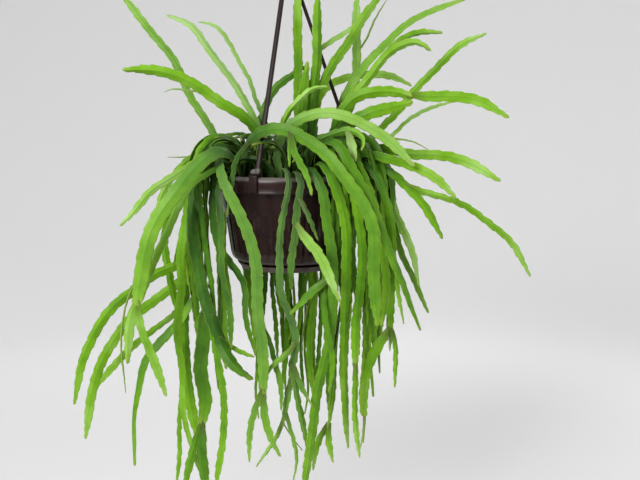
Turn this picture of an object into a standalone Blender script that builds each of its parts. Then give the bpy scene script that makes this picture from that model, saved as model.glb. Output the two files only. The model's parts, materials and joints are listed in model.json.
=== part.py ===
"""A hanging pot planted with a flat-stemmed mistletoe cactus.

The pot is dark brown moulded plastic with a hanging collar, a fluted wall, a clip-on saucer and a
hanger of three rods that meet under a hook. The plant is a clump of strap-like stems that rise
from the soil, arch over the rim and hang down. Each stem is one grown body with its side shoots.

All pieces are modelled round the centre of the pot's rim and hang from one empty, which puts the
origin of the part on the seat of the hook, where it rests on whatever carries it.
"""
import math

import bmesh
import bpy
import numpy as np
from mathutils import Matrix, Vector

# ---------------------------------------------------------------- driving dimensions, metres
GAP = 0.0003                    # clearance between pieces that touch
SIDES = 64                      # corners round the pot, two to a flute

RIM_RADIUS = 0.0775             # a 15 cm pot, measured over its collar
RIM_TOP_INNER = 0.0727
SKIRT_DEPTH = 0.0155            # the collar hangs down this far from the rim
SKIRT_WALL = 0.0020
FLUTE_TOP = -0.0390
FLUTE_BOTTOM = -0.0750
FLUTE_DEPTH = 0.0012
POT_FLOOR = -0.0855
POT_BASE = -0.0875              # underside of the pot, inside its foot ring
POT_FOOT = -0.0930
INNER_WALL = [(-0.0008, 0.0718), (-0.0160, 0.0675), (-0.0355, 0.0640), (-0.0400, 0.0624),
              (-0.0780, 0.0572), (-0.0845, 0.0535)]     # height and radius, downwards
DRAIN_CIRCLE = 0.0330
DRAIN_RADIUS = 0.0045
DRAINS = 6

SAUCER_TOP = -0.0890
SAUCER_RADIUS = 0.0530
SAUCER_FOOT_RADIUS = 0.0490
SAUCER_WALL = 0.0018
PEG_CIRCLE = 0.0180
PEG_RADIUS = 0.0035
PEG_HOLE_RADIUS = 0.0040
PEG_HEAD_RADIUS = 0.0048
PEGS = 3

SOIL_TOP = -0.0100
SOIL_BOTTOM = -0.0810

HUB_HEIGHT = 0.2060             # the three rods meet this far above the rim
HUB_RADIUS = 0.0072
HUB_UNDERSIDE = HUB_HEIGHT - 0.0030
ROD_RADIUS = 0.0018
ROD_BALL_RADIUS = 0.0026
ROD_BALL_CIRCLE = 0.0036
HOOK_WIRE = 0.0020              # radius of the hook's own rod
HOOK_BEND = 0.0120              # radius of the bend along the middle of that rod
HOOK_RISE = 0.0440              # from the hub up to the middle of the bend
CLIP_WIDTH = 0.0085
CLIP_WALL = 0.0018
CLIP_DROP = 0.0140              # length of the tab outside the collar
CLIP_LEG = 0.0050               # length of the leg inside the rim
CLIP_LEG_RADIUS = 0.0699        # outer face of that leg
KNOB_RADIUS = 0.0034
KNOB_HEIGHT = 0.0039
STRAND_TURNS = (9.5, 119.0, 249.5)     # clips slide round the rim, so these are not quite even

HOOK_SEAT = HUB_HEIGHT + HOOK_RISE + HOOK_BEND - HOOK_WIRE

# ---------------------------------------------------------------- stems, centimetres
CM = 0.01
SAMPLE = 0.6                    # spacing of the points on a stem's middle line
STATION = 3                     # the solid has a ring at every third of them
EASING = 3                      # rounds that even out the corners of a route
HALF_THICK = 0.15
ROOT_HALF_WIDTH = 0.20          # a stem is narrow where it leaves the soil,
SHOOT_HALF_WIDTH = 0.17         # and a shoot where it leaves its parent
ROOT_WIDENS = 4.0               # length over which each reaches its full width
SHOOT_WIDENS = 2.6
TIP_LENGTH = 3.2
TIP_HALF_WIDTH = 0.06
BLUNT_HALF_WIDTH = 0.22         # half width of an end that carries a shoot
END_SHARE = 0.95                # a shoot that starts beyond this sits on its parent's end
RISE = 0.8                      # a stem leaves the soil straight up over this height
SHOOT_BURIED = 0.6              # a shoot on an end starts this far back inside it
ROOT = (SOIL_TOP + GAP) / CM

AIR = 0.06                      # least distance between two stems
SETTLE_ROUNDS = 160
NEIGHBOUR_ROUNDS = 8            # rounds between two searches for neighbours
NEIGHBOUR_REACH = 2.2
YOUNG = 4.0                     # a shoot's first stretch may touch the stem that carries it
YIELD = np.array([0.35, 1.4, 0.35])     # stems give way mostly towards the front and the back
ROOT_LIMIT = 6.2                # no stem is rooted further out than this
RIM_ROLL = (7.45, -0.28, 0.32)  # the rim as the stems meet it: radius, height, half thickness
OVER_RIM = 7.4                  # a stem that has come this far out hangs outside the pot
MOUTH = 6.85                    # inner wall just below the rim
WALL = [(-9.7, 0.0), (-9.6, 5.3), (-8.8, 5.5), (-8.2, 6.1), (-1.8, 7.1), (-1.7, 7.75),
        (-0.2, 7.75)]           # outside of the pot and saucer: height and radius
CLIP_POINTS = [(6.9, -0.2), (7.4, 0.1), (7.9, -0.1), (7.9, -0.7), (7.9, -1.2)]
ROD_POINTS = 48
ANCHOR = 0.6                    # a stem faces its set way this far along
FOLLOW_LEAN = 0.25              # share of a stem's lean that its flat side follows
ROLL = math.radians(14.0)       # and how far single stems are rolled from that
ROLL_STEP = 2.4

# A stem is a list of segments: width, the segment that it grows from, how far along that one it
# starts, and its way points in centimetres from the centre of the rim: x to the right, y to the
# back and z up.
STEMS = {
    "stem_upright_1": [
        (0.9, None, 0, [(0.6, 0.6, ROOT), (1, 0.5, 4), (1, 0.5, 8), (1, 0.5, 12.5), (1, 0, 15.5),
            (1, 0, 18.5)]),
    ],
    "stem_upright_2": [
        (0.9, None, 0, [(1.8, -1, ROOT), (2, -1, 4), (2.5, -1, 7.5), (3, -1.5, 11), (3, -1.5, 13.5),
            (3, -1, 18)]),
        (0.6, 0, 0.7, [(4, 0.5, 13), (5.5, 1, 14), (7.5, 2.5, 15.5)]),
    ],
    "stem_upright_3": [
        (1, None, 0, [(0.4, -2.2, ROOT), (1.5, -2, 4.5), (1.5, -2, 7), (2, -2, 11)]),
    ],
    "stem_upright_4": [
        (0.9, None, 0, [(2.8, -0.4, ROOT), (2.5, -0.5, 5.5), (3, -1, 8), (4.5, -1, 11), (6, -0.5, 13),
            (7.5, 0, 15.5), (9.5, 1, 18)]),
    ],
    "stem_upright_5": [
        (0.8, None, 0, [(4, 2.8, ROOT), (5, 3, 4), (6.5, 3, 7), (7, 3, 10), (7, 3.5, 13.5),
            (7, 3.5, 18.5)]),
        (0.3, 0, 0.7, [(8, 3, 13.5), (8.5, 2.5, 15), (10, 2, 17.5)]),
    ],
    "stem_upright_6": [
        (0.7, None, 0, [(-2.4, 0.6, ROOT), (-3, 0.5, 4.5), (-2.5, 1, 6.5), (-1.5, 1, 8.5), (0.5, 1.5, 10),
            (2, 2, 11)]),
    ],
    "stem_upright_7": [
        (0.8, None, 0, [(2.2, 3.6, ROOT), (2.5, 4, 6), (3.5, 4, 8.5), (5, 4, 9.5), (7, 4.5, 10),
            (11, 5, 10), (13, 5, 9)]),
    ],
    "stem_upright_8": [
        (0.6, None, 0, [(-0.8, -3.4, ROOT), (-0.5, -3.5, 4.5), (0, -3.5, 6), (1.5, -3.5, 7.5),
            (2.5, -3, 8.5), (4, -3, 8.5)]),
    ],
    "stem_right_1": [
        (0.85, None, 0, [(4.8, 0.8, ROOT), (5, 1, 5), (6.5, 1, 9), (8, 1, 11), (9.5, 1.5, 12.5),
            (11.5, 1.5, 14.5), (14, 2, 16), (18, 2, 17.5)]),
    ],
    "stem_right_2": [
        (0.7, None, 0, [(5.2, -0.6, ROOT), (5.5, -0.5, 6.5), (7.5, -0.5, 9), (9.5, 0, 11.5),
            (11.5, 0, 13.5), (13, 0, 14), (15.5, 0.5, 14)]),
    ],
    "stem_right_3": [
        (0.85, None, 0, [(5.4, -1.8, ROOT), (6.5, -1.5, 7.5), (8.5, -1.5, 10), (9.5, -1.5, 11.5),
            (11, -2, 12.5), (12.5, -2, 13), (14, -2, 12)]),
    ],
    "stem_right_4": [
        (1.05, None, 0, [(4.4, -3, ROOT), (5, -3, 5.5), (6.5, -3.5, 7.5), (8.5, -4, 8), (10.5, -4, 8),
            (12, -4.5, 7.5)]),
        (1, 0, 1, [(13.5, -4.5, 7.5), (16, -5, 7.5), (18.5, -5, 7), (20, -5.5, 6), (21, -5.5, 5.5)]),
    ],
    "stem_right_5": [
        (1.15, None, 0, [(3.4, -3.8, ROOT), (4.5, -4, 3.5), (6, -4.5, 5), (8, -5, 6), (10, -5, 6.5),
            (12, -5, 7)]),
    ],
    "stem_right_6": [
        (0.7, None, 0, [(5.4, 2.2, ROOT), (8, 2.5, 3), (9.5, 2.5, 4.5), (11.5, 2, 6.5), (13, 2, 8.5),
            (15, 1.5, 10.5), (17.5, 1, 13), (20, 1, 14)]),
        (0.4, 0, 0.3, [(10.5, 3, 3.5), (12, 4, 5), (14.5, 5, 6.5), (18, 6, 7.5)]),
    ],
    "stem_right_7": [
        (1, None, 0, [(-0.6, -4.6, ROOT), (-1, -5, 2.5), (0, -5, 4.5), (1.5, -5.5, 5.5), (4, -6, 6),
            (6, -6, 5.5), (8, -6.5, 4.5), (9.5, -6.5, 3.5), (12, -7, 1)]),
        (0.3, 0, 0.8, [(10.5, -6, 3.5), (11.5, -6, 3.5), (13.5, -5.5, 2.5)]),
    ],
    "stem_right_8": [
        (0.85, None, 0, [(4.4, -4.2, ROOT), (5.5, -5, 1.5), (6.5, -5, 2.5), (8.5, -5.5, 2),
            (10.5, -6, 1.5), (12, -6, 1), (14, -6.5, 0), (16, -6.5, -2)]),
    ],
    "stem_right_9": [
        (0.95, None, 0, [(5.8, 0.4, ROOT), (7.5, 0, 1.5), (8.5, -1, 2.5), (10, -2, 2.5), (12, -3, 2),
            (14.5, -3.5, 2), (17, -4, 1.5), (20.5, -5, -0.5)]),
    ],
    "stem_right_10": [
        (1, None, 0, [(6, -1.8, ROOT), (7, -3, 1), (8.5, -4, 1), (10, -5, 0.5), (11.5, -5, -1),
            (13, -5.5, -2.5), (15, -5.5, -6)]),
        (0.7, 0, 0.55, [(13, -5, -1.5), (15, -5, -2), (17.5, -4.5, -3), (19.5, -4.5, -4.5), (22, -4, -6.5),
            (24, -4, -10)]),
    ],
    "stem_right_11": [
        (0.85, None, 0, [(6, -0.4, ROOT), (8, -1, 1.5), (9, -2, 0.5), (10, -3, -1), (10.5, -3.5, -3.5),
            (11.5, -4, -5.5), (12.5, -4, -8), (13, -4, -11)]),
    ],
    "stem_right_12": [
        (0.8, None, 0, [(5.8, 1.4, ROOT), (8, 1.5, 1.5), (9.5, 1, 0), (10.5, 0.5, -3), (11, 0, -6),
            (12, 0, -9), (13, -0.5, -11), (14.5, -0.5, -14.5)]),
    ],
    "stem_right_13": [
        (0.75, None, 0, [(5.4, -3, ROOT), (7, -5, 1.5), (8.5, -6.5, 0), (9.5, -7, -2.5), (10, -7, -5.5),
            (10, -7, -9), (10, -6.5, -12), (10, -6.5, -15)]),
        (0.6, 0, 1, [(10.5, -6.5, -16), (10.5, -6.5, -17.5), (10.5, -6.5, -20.5)]),
        (1, 0, 1, [(9, -6.5, -16), (8, -6.5, -18), (7.5, -6.5, -20.5), (7.5, -6.5, -23.5)]),
        (0.4, 0, 1, [(10, -6, -16), (10, -6, -17)]),
        (0.35, 2, 0.95, [(7.5, -6.5, -25), (7, -6.5, -27.5)]),
    ],
    "stem_front_1": [
        (1.1, None, 0, [(-4.4, -3.8, ROOT), (-4, -4.5, 2), (-3, -5.5, 3.5), (-0.5, -7, 4.5), (2, -8, 3.5),
            (4, -9, 2), (5.5, -10, 0), (7, -10.5, -2), (8, -11, -4.5), (8, -10.5, -7.5),
            (8.5, -10, -13.5)]),
        (0.6, 0, 0.3, [(1, -8.5, 2), (2, -9, 0.5), (2.5, -9.5, -1.5)]),
        (0.4, 0, 0.3, [(0.5, -8, 2.5), (0.5, -8.5, 1)]),
        (0.45, 0, 0.15, [(-4.5, -6.5, 2), (-5, -8.5, 0), (-5.5, -9, -3.5)]),
    ],
    "stem_front_2": [
        (0.65, None, 0, [(1.8, -4, ROOT), (2, -5, 2.5), (3, -5.5, 3.5), (4.5, -6, 4), (6, -6.5, 4.5),
            (7, -7, 4), (7.5, -7, 3.5), (7, -7.5, 2.5)]),
        (0.85, 0, 0.7, [(6, -7, 3.5), (6.5, -7.5, 1.5)]),
    ],
    "stem_front_3": [
        (0.95, None, 0, [(2.8, -4.8, ROOT), (3, -6, 2.5), (4, -7.5, 3.5), (5, -8.5, 3), (6, -9, 1),
            (7.5, -9.5, -1.5), (8.5, -10, -4), (9.5, -10, -6.5), (10.5, -10, -9), (12.5, -9.5, -14)]),
        (0.4, 0, 0.75, [(10.5, -9, -11), (11, -9, -13.5)]),
    ],
    "stem_front_4": [
        (0.75, None, 0, [(4, -5, ROOT), (5, -6, 2.5), (6.5, -7, 1.5), (7.5, -8, -0.5), (8.5, -8, -3.5),
            (9, -8, -6.5), (9.5, -8, -10.5), (9, -8, -14)]),
    ],
    "stem_front_5": [
        (1.15, None, 0, [(2.8, -5.6, ROOT), (3, -7.5, 1.5), (4, -9, 0), (5, -9, -2.5), (5.5, -9, -5),
            (5.5, -9, -8.5), (5.5, -8, -13.5), (5.5, -8, -18.5), (6, -7, -26.5)]),
    ],
    "stem_front_6": [
        (1, None, 0, [(4.8, -4, ROOT), (5, -6.5, 2), (6, -8, 0), (6.5, -8.5, -2.5), (7, -9, -5.5),
            (7, -8.5, -9.5), (6.5, -8.5, -13.5), (6.5, -8, -18)]),
        (0.7, 0, 1, [(6.5, -8, -19.5), (6.5, -8, -23), (7, -8, -27)]),
    ],
    "stem_front_7": [
        (1.05, None, 0, [(1.6, -5.8, ROOT), (2.5, -8, 1), (3.5, -9, -0.5), (4, -9, -4), (4.5, -9, -7.5),
            (4.5, -8.5, -11.5), (4, -8.5, -16), (3, -8, -20), (2.5, -8, -24), (1.5, -7.5, -31)]),
        (0.85, 0, 0.4, [(3, -9, -10), (2, -9, -11), (0.5, -9.5, -12.5)]),
        (0.8, 0, 0.45, [(4.5, -7.5, -16.5), (4.5, -7, -20.5), (4, -7, -24.5)]),
        (0.7, 2, 0.95, [(4, -7, -25.5), (4.5, -7, -28)]),
        (0.7, 2, 0.95, [(3, -6.5, -26), (2.5, -6.5, -29)]),
    ],
    "stem_front_8": [
        (0.95, None, 0, [(-0.4, -5.8, ROOT), (0, -7.5, 1), (0.5, -9, -0.5), (0, -9, -2.5), (-0.5, -9, -6),
            (-0.5, -9, -8.5), (-0.5, -9, -10.5), (0.5, -8.5, -13), (1, -8.5, -15.5), (0.5, -8, -18),
            (0.5, -8, -20)]),
        (0.85, 0, 0.95, [(0, -8, -21.5), (-0.5, -8, -24)]),
        (0.75, 0, 0.9, [(1, -8, -21), (1.5, -7.5, -23.5), (2, -7.5, -26.5)]),
        (0.55, 1, 1, [(-1, -8, -25), (-2, -8, -26.5), (-3, -8, -28)]),
        (0.3, 1, 1, [(0.5, -8, -25), (1.5, -7.5, -26.5)]),
        (0.5, 1, 0.7, [(0.5, -8.5, -24.5), (1, -8.5, -27), (0.5, -8.5, -29.5)]),
        (0.65, 0, 0.9, [(1.5, -8.5, -20), (2.5, -9, -21.5)]),
        (0.7, 0, 0.8, [(0, -9, -16.5), (-1, -9, -17), (-2, -9, -18.5)]),
    ],
    "stem_front_9": [
        (0.8, None, 0, [(0.8, -5.8, ROOT), (1, -8, 0.5), (1.5, -9, -0.5), (1, -9, -2.5), (1, -9, -4.5),
            (0.5, -8.5, -7.5), (0.5, -8, -10.5)]),
        (1.05, 0, 0.55, [(2, -10, -5.5), (3, -10.5, -6.5), (4, -11, -8.5), (5, -11, -11)]),
        (0.5, 0, 0.4, [(2, -10, -3), (3, -10, -5.5)]),
    ],
    "stem_front_10": [
        (1.2, None, 0, [(-4.8, -2.8, ROOT), (-6, -4, 1), (-6.5, -5, 2), (-6, -7, 1), (-5, -9, -1),
            (-4, -9.5, -3), (-3, -10, -5.5), (-2.5, -10, -8.5), (-2.5, -10, -12), (-2, -9.5, -16),
            (-2, -9.5, -20)]),
        (0.65, 0, 1, [(-3, -9.5, -22), (-3.5, -9, -24.5), (-3.5, -9, -27)]),
        (0.8, 0, 1, [(-2, -9.5, -22), (-1.5, -10, -24), (-0.5, -10, -26)]),
        (0.6, 0, 0.75, [(-1.5, -9, -15), (-1, -9, -17.5), (-0.5, -9, -19.5), (-0.5, -9, -22)]),
    ],
    "stem_left_1": [
        (0.8, None, 0, [(-3.8, 1.6, ROOT), (-6, 2, 1), (-7, 2, 2.5), (-8.5, 2.5, 5), (-10.5, 3, 8),
            (-12, 3.5, 11.5), (-14.5, 4, 14.5), (-18, 5, 19)]),
    ],
    "stem_left_2": [
        (1, None, 0, [(-3, -1.8, ROOT), (-2.5, -2, 3), (-4, -2.5, 5.5), (-6.5, -3, 7), (-8.5, -3.5, 8.5),
            (-10.5, -4, 9.5), (-12.5, -4, 10), (-15.5, -4.5, 10)]),
        (0.3, 0, 0.6, [(-9.5, -3, 8), (-11, -3, 8.5), (-12, -2.5, 8)]),
    ],
    "stem_left_3": [
        (0.7, None, 0, [(-3, -0.2, ROOT), (-3, 0, 4.5), (-4, 0.5, 6.5), (-5.5, 1, 9), (-7, 1, 11),
            (-8.5, 1.5, 13), (-10, 2, 15), (-12.5, 2.5, 16)]),
    ],
    "stem_left_4": [
        (0.42, None, 0, [(-2, 1.8, ROOT), (-2.5, 2, 5.5), (-3.5, 2, 7.5), (-4, 2, 9.5), (-5, 2.5, 11),
            (-6, 3, 13), (-7.5, 3, 15), (-9.5, 4, 15.5)]),
    ],
    "stem_left_5": [
        (0.7, None, 0, [(-5.6, 2.2, ROOT), (-7, 2.5, 1), (-9, 3, 2), (-10.5, 3, 1.5), (-12, 3.5, 0),
            (-13.5, 3.5, -2), (-14.5, 3.5, -5.5)]),
        (0.25, 0, 0.4, [(-11, 3.5, 1.5), (-13, 3.5, 1.5)]),
    ],
    "stem_left_6": [
        (0.8, None, 0, [(-5.2, 3.4, ROOT), (-8.5, 4.5, 1), (-10.5, 5, 0.5), (-12.5, 5.5, -2),
            (-13.5, 5.5, -5), (-14, 5.5, -8), (-13.5, 5, -11), (-12.5, 5, -16.5)]),
    ],
    "stem_left_7": [
        (0.7, None, 0, [(-5.8, -0.4, ROOT), (-6, -2, 1.5), (-8, -3.5, 1.5), (-10, -4.5, 0.5),
            (-11.5, -5.5, -0.5), (-13, -6.5, -1.5), (-14, -7, -3), (-15.5, -7.5, -4.5)]),
    ],
    "stem_left_8": [
        (1.35, None, 0, [(-4.8, -4.6, ROOT), (-5.5, -5.5, 1.5), (-6.5, -6, 2), (-7.5, -7, 1.5),
            (-9, -8, 0), (-10, -9, -1.5), (-11.5, -9.5, -3.5), (-12.5, -10, -6), (-13, -10, -8.5),
            (-13.5, -10.5, -11.5)]),
        (0.9, 0, 1, [(-13, -10.5, -14), (-12, -10.5, -16.5), (-11, -10.5, -20)]),
        (0.3, 0, 0.85, [(-14, -10, -10), (-15, -10, -13.5), (-15, -9.5, -20)]),
    ],
    "stem_left_9": [
        (1, None, 0, [(-5.9, -2.4, ROOT), (-6, -4.5, 1.5), (-7.5, -6, 0.5), (-9, -7, -0.5),
            (-10, -7.5, -2.5), (-11, -8, -5), (-12, -8.5, -7), (-13, -8.5, -9.5), (-14.5, -8.5, -13),
            (-15, -8.5, -17.5)]),
    ],
    "stem_left_10": [
        (1, None, 0, [(-6.2, 0.6, ROOT), (-8, 1, 1), (-9.5, 1.5, -0.5), (-10.5, 2, -3), (-10.5, 2, -6.5),
            (-10.5, 2, -10), (-10, 2, -14)]),
        (0.75, 0, 0.7, [(-11.5, 1.5, -9.5), (-14, 0.5, -10.5), (-16, -0.5, -12), (-18, -1.5, -13.5),
            (-19.5, -2, -15.5), (-20.5, -2.5, -17.5), (-21.5, -2.5, -20), (-22, -3, -23.5)]),
        (0.9, 0, 0.95, [(-12, 1.5, -16), (-14, 1, -18), (-15.5, 0.5, -20), (-16, 0, -22),
            (-16.5, -0.5, -25), (-16.5, -1, -31)]),
        (0.45, 0, 0.5, [(-10.5, 1, -6), (-11.5, 0.5, -7.5), (-12, 0, -9.5)]),
    ],
    "stem_left_11": [
        (0.85, None, 0, [(-6.2, -0.8, ROOT), (-7.5, -1, 1), (-9, -2, 0), (-9.5, -3, -2), (-10, -3.5, -4.5),
            (-10.5, -4, -7.5), (-10.5, -4, -11.5), (-11, -4.5, -15.5), (-10.5, -4.5, -19),
            (-10.5, -5, -22.5), (-10, -5, -26), (-8, -5.5, -31.5)]),
        (0.45, 0, 0.7, [(-11, -4.5, -25), (-11, -4.5, -27.5), (-11.5, -4.5, -32)]),
    ],
    "stem_left_12": [
        (1.15, None, 0, [(-6, -1.6, ROOT), (-7, -3, 0.5), (-8.5, -4, -0.5), (-9, -5, -3), (-9, -5.5, -5.5),
            (-8.5, -6, -8.5), (-8, -6.5, -11), (-7, -7, -13.5), (-6, -7, -16), (-4.5, -8, -18),
            (-3, -8, -19)]),
        (0.6, 0, 0.8, [(-5, -7, -16.5), (-3, -8, -17)]),
        (1.35, 0, 0.65, [(-8, -6, -15), (-8.5, -6, -19), (-8, -6, -22), (-8.5, -6, -24.5)]),
        (0.65, 0, 0.7, [(-6.5, -7.5, -17.5), (-6, -8, -20.5), (-6, -8, -23.5), (-7, -8, -30.5)]),
        (1.15, 2, 0.95, [(-8.5, -6.5, -26), (-8.5, -6.5, -28), (-8, -6.5, -31.5)]),
        (0.8, 2, 0.95, [(-9.5, -6, -27.5), (-10.5, -6, -31.5)]),
    ],
    "stem_left_13": [
        (0.75, None, 0, [(-5.6, -3.6, ROOT), (-6, -5.5, 0.5), (-6.5, -7, -1), (-6, -8, -3.5),
            (-6, -8, -6.5), (-6, -8, -9), (-5.5, -7.5, -11.5), (-5.5, -7, -16.5)]),
    ],
    "stem_left_14": [
        (0.75, None, 0, [(-6.2, -1.4, ROOT), (-7, -4, 1), (-7, -5.5, -1), (-7, -6, -4), (-6.5, -6.5, -6.5),
            (-5, -7, -8.5), (-4, -7, -10), (-4, -7.5, -12.5), (-3, -7.5, -17)]),
    ],
    "stem_back_1": [
        (0.9, None, 0, [(-4.6, 4.2, ROOT), (-8, 6.5, 1), (-9.5, 7.5, -0.5), (-11, 8, -4), (-11.5, 7, -9.5),
            (-12, 6.5, -14.5), (-12, 5.5, -20), (-11.5, 4.5, -25), (-10.5, 3.5, -30)]),
        (0.85, 0, 0.5, [(-12.5, 7, -12.5), (-14.5, 7, -14), (-16.5, 7, -15.5), (-18.5, 7, -17),
            (-20, 6.5, -19), (-21.5, 6, -21.5), (-22.5, 5.5, -24.5), (-23.5, 5, -30.5)]),
        (0.65, 0, 0.6, [(-13.5, 7.5, -16.5), (-16, 8.5, -18.5), (-18.5, 9, -20.5), (-20.5, 9.5, -22.5),
            (-23.5, 9.5, -26)]),
    ],
    "stem_back_2": [
        (0.65, None, 0, [(0.8, 5.6, ROOT), (0.5, 8, 1), (1.5, 9, -2), (1.5, 9, -7), (2, 8.5, -12),
            (2.5, 8, -15), (2, 8, -19), (2, 8, -22.5), (2.5, 7.5, -26.5)]),
        (0.3, 0, 0.6, [(1.5, 8, -17), (1, 8.5, -21.5)]),
    ],
    "stem_back_3": [
        (1, None, 0, [(4.6, 3.8, ROOT), (6.5, 5.5, 0.5), (7.5, 6.5, -1), (8.5, 7, -4.5), (9, 6.5, -10),
            (8.5, 6, -15), (8.5, 6, -20.5), (8, 5.5, -27)]),
    ],
    "stem_back_4": [
        (0.9, None, 0, [(-2, 5.2, ROOT), (-2, 8, 2), (-2.5, 10, 0), (-3, 10.5, -4), (-2.5, 10, -8)]),
    ],
    "stem_back_5": [
        (1, None, 0, [(3, 5.4, ROOT), (4, 8.5, 3), (5.5, 11, 1), (6, 12, -4), (6.5, 11.5, -10),
            (6.5, 11, -20)]),
    ],
    "stem_back_6": [
        (1, None, 0, [(-3.4, 5, ROOT), (-5.5, 8.5, 2.5), (-7.5, 10.5, 0), (-8.5, 11, -6), (-8.5, 11, -14),
            (-8, 10.5, -24)]),
    ],
    "stem_back_7": [
        (0.95, None, 0, [(-0.4, 4.2, ROOT), (0, 7, 5), (0.5, 10.5, 5.5), (1, 13, 2.5), (1.5, 14, -2),
            (1.5, 13.5, -8)]),
    ],
}

COLOURS = {
    "pot_brown": ((0.024, 0.014, 0.012), 0.38),
    "saucer_brown": ((0.070, 0.048, 0.038), 0.45),
    "hanger_black": ((0.020, 0.016, 0.015), 0.35),
    "potting_soil": ((0.035, 0.022, 0.014), 0.95),
    "stem_green": ((0.130, 0.330, 0.020), 0.42),
}


# ---------------------------------------------------------------- general helpers
def material(name):
    """A plain Principled material from the table of colours."""
    colour, roughness = COLOURS[name]
    made = bpy.data.materials.new(name)
    made.use_nodes = True
    shader = made.node_tree.nodes["Principled BSDF"]
    shader.inputs["Base Color"].default_value = (*colour, 1.0)
    shader.inputs["Roughness"].default_value = roughness
    shader.inputs["Metallic"].default_value = 0.0
    return made


def add_object(name, bm, parent):
    """Turn a bmesh into an object under the rim's empty, with its faces pointing out."""
    bmesh.ops.recalc_face_normals(bm, faces=bm.faces)
    if bm.calc_volume(signed=True) < 0.0:
        bmesh.ops.reverse_faces(bm, faces=bm.faces)
    mesh = bpy.data.meshes.new(name)
    bm.to_mesh(mesh)
    bm.free()
    made = bpy.data.objects.new(name, mesh)
    bpy.context.scene.collection.objects.link(made)
    made.parent = parent
    return made


def finish(piece, look, sharp_angle):
    """Give a piece its material, and shade it smooth but for its real edges."""
    piece.data.materials.clear()
    piece.data.materials.append(look)
    piece.data.shade_smooth()
    piece.data.set_sharp_from_angle(angle=math.radians(sharp_angle))


def boolean(target, tool, operation):
    """Join a tool to a target, or cut it away, and remove the tool."""
    step = target.modifiers.new("join", "BOOLEAN")
    step.operation = operation
    step.solver = "EXACT"
    step.object = tool
    bpy.context.view_layer.update()
    evaluated = target.evaluated_get(bpy.context.evaluated_depsgraph_get())
    shape = bpy.data.meshes.new_from_object(evaluated)
    target.modifiers.clear()
    target.data = shape
    bpy.data.objects.remove(tool)


def loft(rings, sides):
    """Extrude a closed prism and bend it through rings.

    A ring is a centre and two vectors: a corner at (x, y) on the unit circle goes to
    centre + x * across + y * through.
    """
    bm = bmesh.new()
    bmesh.ops.create_circle(bm, cap_ends=True, segments=sides, radius=1.0)
    edges = bm.edges[:]
    for _ in rings[1:]:
        grown = bmesh.ops.extrude_edge_only(bm, edges=edges)["geom"]
        corners = [item for item in grown if isinstance(item, bmesh.types.BMVert)]
        bmesh.ops.translate(bm, verts=corners, vec=(0.0, 0.0, 1.0))
        fresh = set(corners)
        edges = [item for item in grown if isinstance(item, bmesh.types.BMEdge)]
        edges = [edge for edge in edges if fresh.issuperset(edge.verts)]
    bmesh.ops.edgeloop_fill(bm, edges=edges)
    for corner in bm.verts:
        centre, across, through = rings[round(corner.co.z)]
        corner.co = Vector(centre) + corner.co.x * Vector(across) + corner.co.y * Vector(through)
    return bm


def turned(profile, sides):
    """A solid of revolution through (radius, height) pairs, capped at both ends."""
    return loft([((0, 0, z), (r, 0, 0), (0, r, 0)) for r, z in profile], sides)


def tube(points, radius, sides):
    """A round tube along points, with its rings square to the path."""
    path = np.array(points)
    across, through = frames(path, (0.0, 1.0, 0.0), 0.0)
    return loft([(p, a * radius, t * radius) for p, a, t in zip(path, across, through)], sides)


def frames(path, facing, anchor):
    """Unit vectors across and through a path, carried along it without twisting.

    They are set at the anchor, a share of the path's points, where through looks as nearly along
    facing as the path lets it.
    """
    along = np.gradient(path, axis=0)
    along /= np.linalg.norm(along, axis=1)[:, None]
    start = int(anchor * (len(path) - 1))
    through = np.zeros_like(path)
    normal = np.array(facing) - along[start] * np.dot(facing, along[start])
    through[start] = normal / np.linalg.norm(normal)
    for step in (1, -1):
        at = start + step
        while 0 <= at < len(path):
            normal = through[at - step] - along[at] * np.dot(through[at - step], along[at])
            through[at] = normal / np.linalg.norm(normal)
            at += step
    return np.cross(along, through), through


def on_circle(radius, count, turn=0.0):
    """Points spaced evenly round the pot's axis."""
    for step in range(count):
        angle = math.radians(turn) + 2.0 * math.pi * step / count
        yield radius * math.cos(angle), radius * math.sin(angle)


# ---------------------------------------------------------------- pot, saucer and soil
def inner_radius(height):
    """Radius of the pot's inner wall at a height."""
    heights, radii = zip(*reversed(INNER_WALL))
    return float(np.interp(height, heights, radii))


def make_pot(parent, look):
    """The pot: one moulded wall with a hanging collar, a fluted body and a foot ring."""
    skirt_inner = RIM_RADIUS - SKIRT_WALL
    outside = [
        (0.0405, POT_BASE), (0.0415, POT_FOOT), (0.0460, POT_FOOT), (0.0465, POT_BASE),
        (0.0520, POT_BASE + 0.0002), (0.0575, -0.0838), (0.0597, -0.0780),
        (0.0602, FLUTE_BOTTOM), (0.0650, FLUTE_TOP), (0.0660, FLUTE_TOP + 0.0025),
        (0.0695, -SKIRT_DEPTH), (0.0735, -0.0024), (skirt_inner, -0.0024),
        (skirt_inner - 0.0003, -SKIRT_DEPTH), (RIM_RADIUS - 0.0004, -SKIRT_DEPTH),
        (RIM_RADIUS, -0.0026), (RIM_RADIUS - 0.0007, -0.0007), (RIM_RADIUS - 0.0022, 0.0),
    ]
    inside = [(RIM_TOP_INNER, 0.0)] + [(radius, height) for height, radius in INNER_WALL]
    bm = turned(outside + inside + [(0.0490, POT_FLOOR)], SIDES)
    press_flutes(bm)
    pot = add_object("pot", bm, parent)
    holes = [(x, y, DRAIN_RADIUS) for x, y in on_circle(DRAIN_CIRCLE, DRAINS, 30.0)]
    holes += [(x, y, PEG_HOLE_RADIUS) for x, y in on_circle(PEG_CIRCLE, PEGS)]
    for x, y, radius in holes:
        cutter = turned([(radius, POT_BASE - 0.002), (radius, POT_FLOOR + 0.002)], 16)
        bmesh.ops.translate(cutter, verts=cutter.verts, vec=(x, y, 0.0))
        boolean(pot, add_object("hole", cutter, parent), "DIFFERENCE")
    finish(pot, look, 35.0)


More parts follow.
